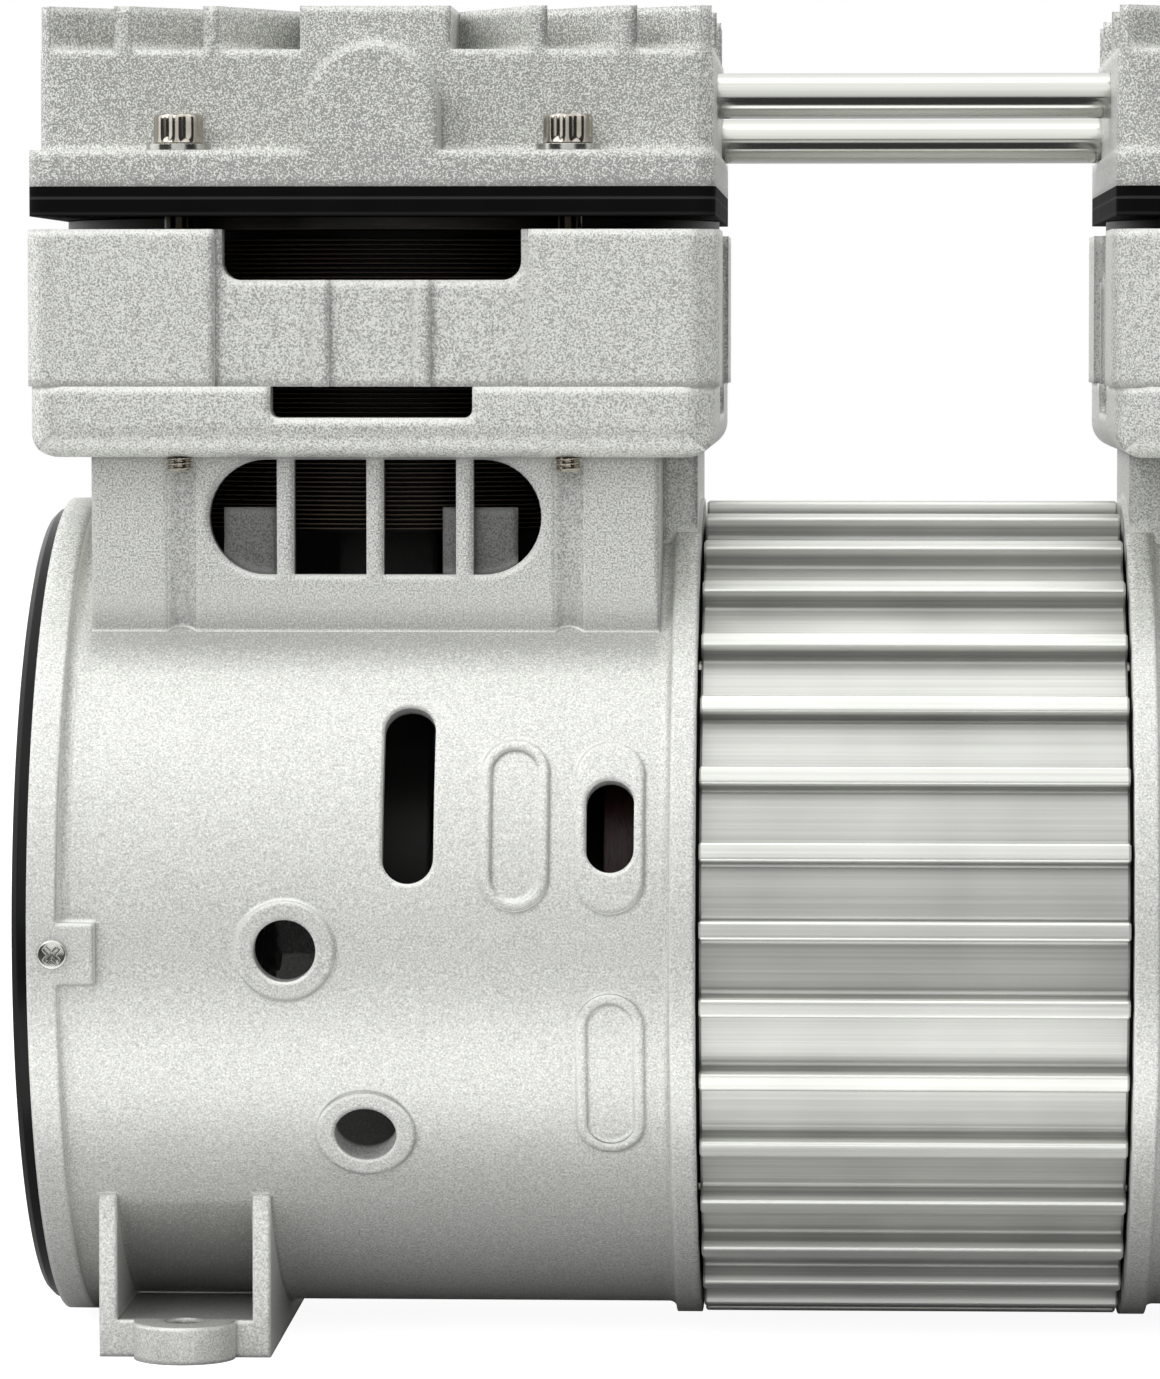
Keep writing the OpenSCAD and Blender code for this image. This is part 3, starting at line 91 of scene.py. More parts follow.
class Finish:
    # A node-based material, or the world's nodes when a tree is given
    def __init__(self, name, tree=None):
        if tree is None:
            self.material = bpy.data.materials.new(name)
            self.material.use_nodes = True
            tree = self.material.node_tree
        self.tree = tree
        tree.nodes.clear()

    def feed(self, socket, value):
        if isinstance(value, Value):
            self.tree.links.new(value.socket, socket)
        else:
            socket.default_value = value

    def node(self, kind, settings=None, inputs=None, output=0):
        made = self.tree.nodes.new(kind)
        for key, value in (settings or {}).items():
            setattr(made, key, value)
        for key, value in (inputs or {}).items():
            self.feed(made.inputs[key], value)
        return Value(self, made.outputs[output]) if len(made.outputs) else None

    def place(self):
        return self.node("ShaderNodeTexCoord", {}, {}, "Object")

    def axes(self, place):
        return [self.node("ShaderNodeSeparateXYZ", {}, {"Vector": place}, axis) for axis in range(3)]

    def stretched(self, place, scale):
        return self.node("ShaderNodeMapping", {}, {"Vector": place, "Scale": scale})

    def noise(self, place, scale, detail=2.0, roughness=0.5):
        inputs = {"Vector": place, "Scale": scale, "Detail": detail, "Roughness": roughness}
        return self.node("ShaderNodeTexNoise", {}, inputs)

    def blend(self, factor, dark, light):
        settings = {"data_type": "RGBA"}
        return self.node("ShaderNodeMix", settings, {0: factor, 6: dark, 7: light}, 2)

    def dot(self, first, second):
        return self.node("ShaderNodeVectorMath", {"operation": "DOT_PRODUCT"}, {0: first, 1: second}, 1)

    def softEdges(self, radius):
        return self.node("ShaderNodeBevel", {"samples": 4}, {"Radius": radius})

    def bump(self, height, look, normal):
        inputs = {"Height": height, "Distance": look["bumpDepth"], "Strength": look["bumpStrength"], "Normal": normal}
        return self.node("ShaderNodeBump", {}, inputs)

    def finished(self, inputs):
        shader = self.node("ShaderNodeBsdfPrincipled", {}, inputs)
        self.node("ShaderNodeOutputMaterial", {}, {"Surface": shader})
        return self.material


def above(value, start, soft):
    # 0 up to start, then up to 1 over the length soft
    return ((value - start) / soft).clamped()


def below(value, end, soft):
    return ((end - value) / soft).clamped()


def band(value, low, high, soft):
    return above(value, low, soft) * below(value, high, soft)


def fromAxis(across, up):
    return (across ** 2.0 + up ** 2.0) ** 0.5


# Sizes of the new pieces, in mm: the motor shell, the liners, the head bolts and the cover screws

shell = {
    "fins": 34, "first": 1.35, "bore": 52.0, "root": 55.6, "tip": 58.8, "half": 1.3,
    "tipRound": 0.45, "rootRound": 0.7, "ends": 29.5, "endRound": 0.3,
}
liner = {"bore": 30.0, "root": 32.6, "tip": 35.8, "pitch": 0.65, "rim": 47.1, "bottom": 115.0, "top": 157.2}
bolt = {
    "across": 27.0, "deep": 42.5, "tail": 123.7, "seat": 169.0, "shank": 2.0, "pitch": 0.7, "cut": 0.38,
    "threadTop": 128.0, "head": 3.45, "headHeight": 4.1, "flutes": 8, "flute": 0.36, "socket": 1.72,
}
screw = {"x": 118.1, "z": 57.8, "seat": 59.0, "head": 2.1, "rise": 1.1, "shank": 1.5, "foot": 51.4}
shaftHeight = 60.0
stackAt = 75.0


def paintedInsideShadeMask(look, along, across, height):
    # 1 on the barrel's inner wall and inside the neck, where painted shade darkens the casting
    barrel = 1 - above(fromAxis(across, height - look["axis"]), look["insideTo"], 0.002)
    neck = (below(abs(abs(along) - look["stackAt"]), look["neckHalf"], 0.003)
            * below(abs(across), look["neckHalf"], 0.003)
            * above(height, look["neckFrom"], 0.001) * below(height, look["neckTo"], 0.001))
    return (barrel + neck).clamped()


def castShade(look, along, across, height):
    # What the place on the casting adds to its tone: lighter in the middle, darker on the head and its flange,
    # painted shadow below the neck and painted shade in the foot pockets
    middle = band(height, look["middleFrom"], look["middleTo"], 0.002)
    # painted shadow on the barrel just below the neck
    paintedShadowUnderNeck = (band(height, look["underFrom"], look["underTo"], 0.004)
                 * below(abs(abs(along) - look["stackAt"]), look["underHalf"], 0.002))
    head = above(height, look["headFrom"], 0.006)
    flange = band(height, look["flangeFrom"], look["flangeTo"], 0.0008)
    # painted shade in the pocket between a foot's ribs
    pocket = (band(abs(along), look["pocketFrom"], look["pocketTo"], 0.001)
              * below(abs(across), look["pocketHalf"], 0.001) * below(height, look["pocketTop"], 0.012))
    return (middle * look["lift"] - paintedShadowUnderNeck * look["underNeckPaintedShade"] - head * look["headShade"]
            - flange * look["flangeShade"] - pocket * look["pocketShade"])


def castFinish(name, look):
    # Shot-blasted casting: a fine grain that turns both the colour and the surface
    f = Finish(name)
    place = f.place()
    along, across, height = f.axes(place)
    grain = f.noise(place, look["grainScale"], 3.0, 0.65)
    coarse = f.noise(place, look["grainScale"] * 0.3)
    cloud = f.noise(place, look["cloudScale"])
    mixed = grain * (1 - look["coarseShare"]) + coarse * look["coarseShare"]
    # the grain is calm on the barrel, full on the stack and strongest on the head
    rise = above(height, look["calmBelow"], look["calmAbove"] - look["calmBelow"])
    head = above(height, look["headFrom"], 0.006)
    share = look["calmShare"] + rise * (1.0 - look["calmShare"]) + head * look["headGrain"]
    # edges are rubbed lighter and smoother where the rounded normal leaves the flat one
    soft = f.softEdges(look["edgeRadius"] + rise * look["edgeMore"])
    flat = f.node("ShaderNodeNewGeometry", {}, {}, "Normal")
    edge = ((1 - f.dot(soft, flat)) * look["edgeGain"]).clamped()
    # painted light: edges whose rounded normal turns up and to the left, where the light comes from, get a painted
    # highlight, and edges turned away get painted shade
    paintedEdgeLight = f.dot(soft, look["paintedLightFrom"]) - f.dot(flat, look["paintedLightFrom"])
    spark = ((mixed - 0.5) * share * look["contrast"] + 0.5 + (cloud - 0.5) * look["cloud"]
             + castShade(look, along, across, height)
             + edge * look["edgeLight"] + paintedEdgeLight * look["paintedLightGain"]).clamped()
    colour = f.blend(spark, look["dark"], look["light"])
    return f.finished({
        # painted shade on the inside of the barrel and the neck
        "Base Color": f.blend(paintedInsideShadeMask(look, along, across, height), colour, look["insideShadeColour"]),
        "Metallic": look["metallic"],
        "Roughness": look["roughness"] + (grain - 0.5) * share * look["roughSpread"] - edge * look["edgeSmooth"],
        "Normal": f.bump(mixed * share, look, soft),
    })


def drawnFinish(name, look, marks=None):
    # Drawn or extruded metal: fine lines that run along one axis, and marks that shift the tone
    f = Finish(name)
    place = f.place()
    lines = f.noise(f.stretched(place, look["lineScale"]), 1.0, 3.0, 0.6)
    cloud = f.noise(place, look["cloudScale"], 2.0, 0.5)
    tone = (lines - 0.5) * look["contrast"] + look.get("middle", 0.5) + (cloud - 0.5) * look["cloud"]
    if marks is not None:
        tone = tone + marks(f, *f.axes(place))
    return f.finished({
        "Base Color": f.blend(tone.clamped(), look["dark"], look["light"]),
        "Metallic": look["metallic"],
        "Specular IOR Level": look.get("specular", 0.5),
        "Roughness": look["roughness"] + (lines - 0.5) * look["roughSpread"],
        "Normal": f.bump(lines, look, f.softEdges(look["edgeRadius"])),
    })


def coatedFinish(name, look, marks=None):
    # Paint, plastic or rubber: one colour with faint unevenness and its own gloss
    f = Finish(name)
    place = f.place()
    cloud = f.noise(place, look["cloudScale"], 3.0, 0.5)
    grain = f.noise(place, look["grainScale"], 2.0, 0.5)
    tone = cloud if marks is None else (cloud * look["cloud"] + marks(f, *f.axes(place))).clamped()
    return f.finished({
        "Base Color": f.blend(tone, look["dark"], look["light"]),
        "Metallic": look.get("metallic", 0.0),
        "Roughness": look["roughness"] + (cloud - 0.5) * look["roughSpread"],
        "Specular IOR Level": look.get("specular", 0.5),
        "Normal": f.bump(grain, look, f.softEdges(look["edgeRadius"])),
    })


toneMarks = {
    # fins: the painted highlight on the tips, the painted highlight along their edges and the painted shade at their
    # feet
    "tip": 0.24, "tipEdgeHighlight": 0.3, "foot": 0.35,
    # liner: the painted highlight on the lands between the grooves
    "landHighlight": 0.75,
    # plates: heights of the two painted highlight lines at the joints in metres, and their strengths
    "upperJoint": (0.16125, 0.16175), "upper": 0.8, "lowerJoint": (0.1591, 0.1596), "lower": 0.3,
    # bolts: the stretch of the shank darkened by painted shade
    "shank": (0.1565, 0.163),
}


def finPaintedLight(f, along, across, height):
    # Painted highlight: fin tips are brighter, brightest along their two edges. Painted shade: the corners at their
    # feet are darker.
    # The place round the shaft, counted in fins, gives the distance to the nearest fin's middle.
    up = height - shaftHeight * mm
    out = fromAxis(across, up)
    turn = f.node("ShaderNodeMath", {"operation": "ARCTAN2"}, {0: up, 1: across * -1})
    step = 2 * math.pi / shell["fins"]
    part = (turn - math.radians(shell["first"])) / step
    whole = f.node("ShaderNodeMath", {"operation": "ROUND"}, {0: part})
    off = abs(part - whole) * step * out
    tip = above(out, (shell["tip"] - 1.4) * mm, 0.8 * mm)
    edge = tip * above(off, (shell["half"] - 0.4) * mm, 0.2 * mm)
    foot = (1 - tip) * (1 - above(off, shell["half"] * mm, 1.4 * mm))
    return tip * toneMarks["tip"] + edge * toneMarks["tipEdgeHighlight"] - foot * toneMarks["foot"]


def linerPaintedHighlight(f, along, across, height):
    # Painted highlight: the grooves' lands are a little lighter than the grooves and the flange
    out = fromAxis(across, abs(along) - stackAt * mm)
    return band(out, (liner["tip"] - 0.4) * mm, (liner["tip"] + 0.6) * mm, 0.3 * mm) * toneMarks["landHighlight"]


def boltPaintedShade(f, along, across, height):
    # Painted shade darkens the plain shank; the thread and the head stay bright
    return band(height, *toneMarks["shank"], 0.4 * mm) * -1


def platePaintedHighlight(f, along, across, height):
    # Painted highlight: the joint's edges between the black plates are lighter
    return (band(height, *toneMarks["upperJoint"], 0.1 * mm) * toneMarks["upper"]
            + band(height, *toneMarks["lowerJoint"], 0.1 * mm) * toneMarks["lower"])


def grey(level, tint=0.0):
    # the tint takes away blue, and a little red
    return (level * (1 - 0.2 * tint), level, level * (1 - tint), 1.0)


castLook = {
    "dark": grey(0.36, 0.045), "light": grey(0.88, 0.045), "metallic": 0.6,
    "grainScale": 3900.0, "cloudScale": 28.0, "contrast": 6.2, "cloud": 0.1, "coarseShare": 0.1,
    "roughness": 0.47, "roughSpread": 0.3, "bumpDepth": 0.12 * mm, "bumpStrength": 0.5,
    # the rounding of edges on the barrel, and what the stack has more
    "edgeRadius": 0.9 * mm, "edgeMore": 0.9 * mm,
    "edgeGain": 8.0, "edgeLight": 0.06, "edgeSmooth": 0.1,
    # painted highlight on rounded edges turned up and to the left, painted shade on those turned away
    "paintedLightFrom": (-0.45, -0.1, 0.89), "paintedLightGain": 1.9,
    # heights in metres: the grain grows from its calm share between the first two, and again at the head
    "calmBelow": 0.104, "calmAbove": 0.112, "calmShare": 0.42, "headFrom": 0.1575, "headGrain": 0.8,
    # the head is darker, and its flange more so
    "headShade": 0.2, "flangeFrom": 0.1625, "flangeTo": 0.1693, "flangeShade": 0.16,
    # the neck and the shroud are lighter, and painted shadow darkens the barrel just below the neck
    "middleFrom": 0.104, "middleTo": 0.158, "lift": 0.11,
    "underFrom": 0.0955, "underTo": 0.1045, "underHalf": 0.041, "underNeckPaintedShade": 0.4,
    # painted shade in the pocket between a foot's ribs
    "pocketFrom": 0.0918, "pocketTo": 0.1112, "pocketHalf": 0.0432, "pocketTop": 0.028, "pocketShade": 0.45,
    # painted shade on the inside: the barrel's nearer to the shaft than this, and the neck's
    "axis": shaftHeight * mm, "insideTo": 0.0535, "insideShadeColour": grey(0.035, 0.05),
    "stackAt": stackAt * mm, "neckHalf": 0.0398, "neckFrom": 0.1, "neckTo": 0.158,
}
shellLook = {
    "dark": grey(0.28, 0.05), "light": grey(0.84, 0.05), "metallic": 0.85, "middle": 0.52,
    "lineScale": (6.0, 2200.0, 2200.0), "cloudScale": 60.0, "cloud": 0.3, "contrast": 0.7,
    "roughness": 0.42, "roughSpread": 0.12,
    "bumpDepth": 0.02 * mm, "bumpStrength": 0.35, "edgeRadius": 0.15 * mm,
}
tubeLook = {
    "dark": grey(0.5, 0.06), "light": grey(0.68, 0.06), "metallic": 1.0,
    "lineScale": (9.0, 3000.0, 3000.0), "cloudScale": 60.0, "cloud": 0.3, "contrast": 0.8,
    "roughness": 0.1, "roughSpread": 0.06,
    "bumpDepth": 0.01 * mm, "bumpStrength": 0.2, "edgeRadius": 0.2 * mm,
}
groundLook = {
    "dark": grey(0.4), "light": grey(0.62), "metallic": 1.0,
    "lineScale": (3000.0, 500.0, 500.0), "cloudScale": 60.0, "cloud": 0.3, "contrast": 1.2,
    "roughness": 0.28, "roughSpread": 0.12,
    "bumpDepth": 0.02 * mm, "bumpStrength": 0.2, "edgeRadius": 0.2 * mm,
}
linerLook = {
    "dark": (0.004, 0.0035, 0.003, 1), "light": (0.1, 0.078, 0.06, 1), "metallic": 0.2,
    "specular": 0.15, "middle": 0.06,
    "lineScale": (300.0, 300.0, 3000.0), "cloudScale": 60.0, "cloud": 0.3, "contrast": 0.2,
    "roughness": 0.38, "roughSpread": 0.2,
    "bumpDepth": 0.02 * mm, "bumpStrength": 0.3, "edgeRadius": 0.05 * mm,
}
windingLook = {
    "dark": (0.012, 0.003, 0.002, 1), "light": (0.05, 0.01, 0.006, 1), "metallic": 0.2,
    "lineScale": (1400.0, 500.0, 500.0), "cloudScale": 90.0, "cloud": 0.3, "contrast": 2.2,
    "roughness": 0.4, "roughSpread": 0.2,
    "bumpDepth": 0.2 * mm, "bumpStrength": 0.6, "edgeRadius": 0.5 * mm,
}
laminationLook = {
    "dark": grey(0.05), "light": grey(0.16), "metallic": 0.7,
    "lineScale": (2500.0, 20.0, 20.0), "cloudScale": 60.0, "cloud": 0.3, "contrast": 2.0,
    "roughness": 0.5, "roughSpread": 0.2,
    "bumpDepth": 0.05 * mm, "bumpStrength": 0.5, "edgeRadius": 0.1 * mm,
}
blackPlateLook = {
    "dark": grey(0.002), "light": grey(0.03), "roughness": 0.65, "roughSpread": 0.12, "specular": 0.03,
    "cloud": 0.1, "cloudScale": 120.0, "grainScale": 1500.0,
    "bumpDepth": 0.01 * mm, "bumpStrength": 0.25, "edgeRadius": 0.35 * mm,
}
blackGlossLook = {
    "dark": grey(0.003), "light": grey(0.007), "roughness": 0.25, "roughSpread": 0.08,
    "cloudScale": 120.0, "grainScale": 1500.0, "specular": 0.15,
    "bumpDepth": 0.01 * mm, "bumpStrength": 0.25, "edgeRadius": 0.35 * mm,
}
gasketLook = {
    "dark": grey(0.002), "light": grey(0.03), "roughness": 0.65, "roughSpread": 0.15, "specular": 0.03,
    "cloud": 0.1, "cloudScale": 120.0, "grainScale": 2200.0,
    "bumpDepth": 0.03 * mm, "bumpStrength": 0.4, "edgeRadius": 0.3 * mm,
}
rubberLook = {
    "dark": grey(0.01), "light": grey(0.022), "roughness": 0.6, "roughSpread": 0.2,
    "cloudScale": 120.0, "grainScale": 2600.0,
    "bumpDepth": 0.04 * mm, "bumpStrength": 0.5, "edgeRadius": 0.1 * mm,
}
fanLook = {
    "dark": grey(0.012), "light": grey(0.026), "roughness": 0.5, "roughSpread": 0.2,
    "cloudScale": 60.0, "grainScale": 1800.0,
    "bumpDepth": 0.05 * mm, "bumpStrength": 0.5, "edgeRadius": 0.3 * mm,
}
cupLook = {
    "dark": (0.34, 0.27, 0.17, 1), "light": (0.56, 0.48, 0.34, 1), "roughness": 0.45, "roughSpread": 0.2,
    "cloudScale": 200.0, "grainScale": 2000.0,
    "bumpDepth": 0.03 * mm, "bumpStrength": 0.4, "edgeRadius": 0.15 * mm,
}
boltLook = {
    "dark": (0.02, 0.016, 0.012, 1), "light": (0.62, 0.58, 0.51, 1), "metallic": 1.0,
    "middle": 0.8, "lineScale": (900.0, 900.0, 60.0), "cloudScale": 60.0, "cloud": 0.3, "contrast": 0.5,
    "roughness": 0.16, "roughSpread": 0.08,
    "bumpDepth": 0.01 * mm, "bumpStrength": 0.2, "edgeRadius": 0.1 * mm,
}
nickelLook = {
    "dark": grey(0.42, 0.06), "light": grey(0.72, 0.06), "metallic": 1.0, "roughness": 0.2,
    "roughSpread": 0.12, "cloudScale": 700.0, "grainScale": 3000.0,
    "bumpDepth": 0.02 * mm, "bumpStrength": 0.3, "edgeRadius": 0.18 * mm,
}

finishes = {
    "cast_aluminium": castFinish("shotBlastedCasting", castLook),
    "extruded_aluminium": drawnFinish("extrudedShell", shellLook, finPaintedLight),
    "black_plastic": coatedFinish("blackCover", blackGlossLook),
    "black_plate": coatedFinish("blackPlate", blackPlateLook, platePaintedHighlight),
    "gasket_rubber": coatedFinish("blackGasket", gasketLook, platePaintedHighlight),
    "hard_anodised": drawnFinish("darkLiner", linerLook, linerPaintedHighlight),
    "polished_steel": drawnFinish("polishedTube", tubeLook),
    "nickel_steel": coatedFinish("nickelScrew", nickelLook),
    "zinc_steel": drawnFinish("zincBolt", boltLook, boltPaintedShade),
    "shaft_steel": drawnFinish("groundShaft", groundLook),
    "bearing_steel": drawnFinish("bearingSteel", groundLook),
    "reed_steel": drawnFinish("reedSteel", groundLook),
    "laminations": drawnFinish("laminations", laminationLook),
    "copper_winding": drawnFinish("enamelledWire", windingLook),
    "fan_plastic": coatedFinish("fanPlastic", fanLook),
    "seal_rubber": coatedFinish("sealRubber", rubberLook),
    "ptfe": coatedFinish("filledPtfe", cupLook),
}
for part in frame["record"]["subparts"]:
    mesh = nodes[part["node"]].data
    mesh.materials.clear()
    mesh.materials.append(finishes[part["material_slot"]])
print("finishes made:", len(finishes))

# Surfaces: each solid is a grid of points, closed along its rows where it goes round


def solid(grid, closed=(True, False)):
    # Joins a grid into outward triangles, and welds the points that meet at poles and seams
    rows, columns = grid.shape[:2]
    ids = np.arange(rows * columns).reshape(rows, columns)
    if closed[0]:
        ids = np.vstack([ids, ids[:1]])
    if closed[1]:
        ids = np.hstack([ids, ids[:, :1]])
    a, b, c, d = ids[:-1, :-1], ids[:-1, 1:], ids[1:, 1:], ids[1:, :-1]
    faces = np.concatenate([np.stack([a, b, c], -1).reshape(-1, 3), np.stack([a, c, d], -1).reshape(-1, 3)])
    keys, first, back = np.unique(np.round(grid.reshape(-1, 3) * 1e7).astype(np.int64), axis=0,
                                  return_index=True, return_inverse=True)
    points = grid.reshape(-1, 3)[first]
    faces = back.reshape(-1)[faces]
    whole = (faces[:, 0] != faces[:, 1]) & (faces[:, 1] != faces[:, 2]) & (faces[:, 0] != faces[:, 2])
    faces = faces[whole]
    p, q, r = (points[faces[:, i]] for i in range(3))
    if np.einsum("ij,ij->i", p, np.cross(q, r)).sum() < 0:
        faces = faces[:, ::-1]
    return points, faces


def piece(name, solids, slotName, body, stands, creases=38):
    points, faces, count = [], [], 0
    for some, corners in solids:
        points.append(some)
        faces.append(corners + count)
        count += len(some)
    points, faces = np.concatenate(points), np.concatenate(faces)
    mesh = bpy.data.meshes.new(name)
    mesh.vertices.add(len(points))
    mesh.vertices.foreach_set("co", points.astype(np.float32).ravel())
    mesh.loops.add(faces.size)
    mesh.loops.foreach_set("vertex_index", faces.astype(np.int32).ravel())
    mesh.polygons.add(len(faces))
    mesh.polygons.foreach_set("loop_start", np.arange(0, faces.size, 3, dtype=np.int32))
    mesh.update(calc_edges=True)
    mesh.validate()
    mesh.shade_smooth()
    mesh.set_sharp_from_angle(angle=math.radians(creases))
    made = bpy.data.objects.new(name, mesh)
    bpy.context.collection.objects.link(made)
    mesh.materials.append(finishes[slotName])
    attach(made, body)
    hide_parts(*stands)
    print(name, len(faces), "triangles")
    return made


def turned(profile, steps, shape=None):
    # A profile of (radius, height) in mm turned about Z; shape may change the radius point by point
    angle = np.linspace(0, 2 * math.pi, steps, endpoint=False)[:, None]
    radius, height = np.array(profile, float).T
    radius = np.broadcast_to(radius, (steps, len(radius)))
    height = np.broadcast_to(height, radius.shape)
    if shape is not None:
        radius, height = shape(radius, height, np.broadcast_to(angle, radius.shape))
    return np.stack([radius * np.cos(angle), radius * np.sin(angle), height], -1) * mm


def moved(grid, x=0.0, y=0.0, z=0.0):
    return grid + np.array([x, y, z]) * mm


def towards(grid, axis):
    # Turns what was made about Z so that Z points along -Y or +Y
    x, y, z = grid[..., 0], grid[..., 1], grid[..., 2]
    ways = {"-y": (x, -z, y), "+y": (x, z, -y)}
    return np.stack(ways[axis], -1)


# Motor shell: a cross-section with soft fin tips and root fillets, drawn out along X


def shellSection(grow):
    # Points of one fin in its own axes (out, across), then of the root arc up to the next fin
    root, tip, half = shell["root"] + grow, shell["tip"] + grow, shell["half"] + grow
    turn = np.linspace(0, math.pi / 2, 5)
    fillet, nose = shell["rootRound"], shell["tipRound"]
    base = root - 0.02
    low = np.stack([base + fillet - fillet * np.cos(turn), -half - fillet + fillet * np.sin(turn)], -1)
    up = np.stack([tip - nose + nose * np.sin(turn), -half + nose - nose * np.cos(turn)], -1)
    face = np.stack([np.full(3, tip), np.array([-0.4, 0, 0.4]) * half], -1)
    side = np.concatenate([low, up])
    fin = np.concatenate([side, face, side[::-1] * [1, -1]])
    step = 2 * math.pi / shell["fins"]
    edge = math.atan2(half + fillet, base)
    bend = np.linspace(edge, step - edge, 9)[1:-1]
    arc = np.stack([root * np.cos(bend), root * np.sin(bend)], -1)
    both = np.concatenate([fin, arc])
    whole = []
    for i in range(shell["fins"]):
        a = math.radians(shell["first"]) + i * step
        whole.append(np.stack([both[:, 0] * math.cos(a) - both[:, 1] * math.sin(a),
                               both[:, 0] * math.sin(a) + both[:, 1] * math.cos(a)], -1))
    return np.concatenate(whole)


def makeShell():
    outer, slim = shellSection(0.0), shellSection(-0.25)
    inner = outer / np.linalg.norm(outer, axis=1)[:, None] * shell["bore"]
    end, soft = shell["ends"], shell["endRound"]
    stations = [(-end, inner), (-end, slim), (-end + soft, outer), (end - soft, outer), (end, slim), (end, inner)]
    rows = [np.stack([np.full(len(ring), x), -ring[:, 0], shaftHeight + ring[:, 1]], -1) for x, ring in stations]
    grid = np.stack(rows) * mm
    piece("motor_shell_finned", [solid(grid, (True, True))], "extruded_aluminium", "housing", ["motor_shell"])


# Cylinder liners: the bore, fine cooling grooves at their real spacing, and the round top flange


def makeLiner(word, x):
    side = [(liner["bore"], liner["bottom"] + 0.3), (liner["bore"] + 0.3, liner["bottom"]),
            (liner["root"], liner["bottom"])]
    count = int((liner["top"] - liner["bottom"] - 0.8) / liner["pitch"])
    for i in range(count):
        z = liner["bottom"] + 0.4 + i * liner["pitch"]
        side += [(liner["root"], z), (liner["tip"] - 0.08, z + 0.08), (liner["tip"], z + 0.17),
                 (liner["tip"] - 0.08, z + 0.26), (liner["root"], z + 0.36)]
    top = liner["top"]
    side += [(liner["root"], top), (liner["rim"] - 0.15, top), (liner["rim"], top + 0.15),
             (liner["rim"], top + 1.65), (liner["rim"] - 0.15, top + 1.8), (liner["bore"] + 0.2, top + 1.8),
             (liner["bore"], top + 1.6)]
    piece(word + "_cylinder_grooved", [solid(moved(turned(side, 128), x), (True, True))],
          "hard_anodised", "housing", [word + "_cylinder"])


# Head bolts: fluted socket heads, plain shanks, and a real thread on the tail below the deck


def boltShape(radius, height, angle):
    # Thread: the radius falls by a rounded triangle wave of height and angle. Flutes: by a
    # raised power of a cosine. Socket: the distance to the nearest flat of a hexagon.
    wave = np.abs(((height / bolt["pitch"] - angle / (2 * math.pi)) % 1.0) * 2 - 1)
    fade = np.clip((height - bolt["tail"]) / 0.5, 0, 1) * np.clip((bolt["threadTop"] - height) / 0.4, 0, 1)
    threaded = (np.abs(radius - bolt["shank"]) < 0.01) * fade
    radius = radius - bolt["cut"] * threaded * np.clip(wave * 1.3 - 0.15, 0, 1)
    flank = np.clip((radius - 2.9) / 0.4, 0, 1) * np.clip((height - bolt["seat"] - 0.35) / 0.2, 0, 1)
    radius = radius - bolt["flute"] * flank * (0.5 - 0.5 * np.cos(bolt["flutes"] * angle)) ** 1.2
    flat = np.cos(math.pi / 6) / np.cos((angle % (math.pi / 3)) - math.pi / 6)
    inSocket = (radius < bolt["socket"] + 0.01) & (radius > 0.2) & (height > bolt["seat"] + 1)
    return np.where(inSocket, radius * flat, radius), height


def makeBolts(word, x):
    tail, seat, top = bolt["tail"], bolt["seat"], bolt["seat"] + bolt["headHeight"]
    thread = [(bolt["shank"], z) for z in np.arange(tail + 0.35, bolt["threadTop"], bolt["pitch"] / 8)]
    side = [(0, tail), (1.55, tail), (1.7, tail + 0.1)] + thread
    side += [(bolt["shank"], seat), (2.3, seat), (3.2, seat), (bolt["head"], seat + 0.2)]
    side += [(bolt["head"], z) for z in np.linspace(seat + 0.45, top - 0.45, 6)]
    side += [(bolt["head"] - 0.12, top - 0.18), (bolt["head"] - 0.45, top), (2.1, top), (1.9, top - 0.1)]
    side += [(bolt["socket"], z) for z in np.linspace(top - 0.3, top - 2.0, 4)] + [(0, top - 2.4)]
    one = turned(side, 96, boltShape)
    spots = [(i, j) for i in (-1, 1) for j in (-1, 1)]
    piece(word + "_head_bolts_fluted",
          [solid(moved(one, x + i * bolt["across"], j * bolt["deep"])) for i, j in spots],
          "zinc_steel", "housing", [word + "_head_bolts"], 32)


# Cover screws: low domed heads with a cross recess


def crossHead(radius, height, angle):
    # The recess is deepest on two crossed lines: its depth falls with the distance to the nearer one
    x, y = radius * np.cos(angle + math.pi / 4), radius * np.sin(angle + math.pi / 4)
    near = np.minimum(np.abs(x), np.abs(y))
    reach = np.clip((1.45 - radius) / 0.35, 0, 1)
    sunk = 0.75 * np.clip((0.42 - near) / 0.2, 0, 1) * reach
    return radius, height - np.where(height > screw["seat"] + 0.7, sunk, 0)


def makeScrews():
    seat, head = screw["seat"], screw["head"]
    side = [(0, screw["foot"]), (screw["shank"] - 0.3, screw["foot"]), (screw["shank"], screw["foot"] + 0.3),
            (screw["shank"], seat), (head, seat), (head, seat + 0.45), (head - 0.1, seat + 0.72)]
    side += [(r, seat + screw["rise"] - 0.32 * (r / head) ** 2) for r in np.linspace(head - 0.25, 0, 26)]
    one = turned(side, 120, crossHead)
    made = []
    for axis in ("-y", "+y"):
        for way in (-1, 1):
            made.append(solid(moved(towards(one, axis), way * screw["x"], 0, screw["z"])))
    piece("end_cover_screws_crossed", made, "nickel_steel", "housing", ["end_cover_screws"], 32)


makeShell()
for word, x in (("left", -stackAt), ("right", stackAt)):
    makeLiner(word, x)
    makeBolts(word, x)
makeScrews()
print("new pieces made")

# Stage: white floor and surroundings, soft lamps, and the photograph's camera

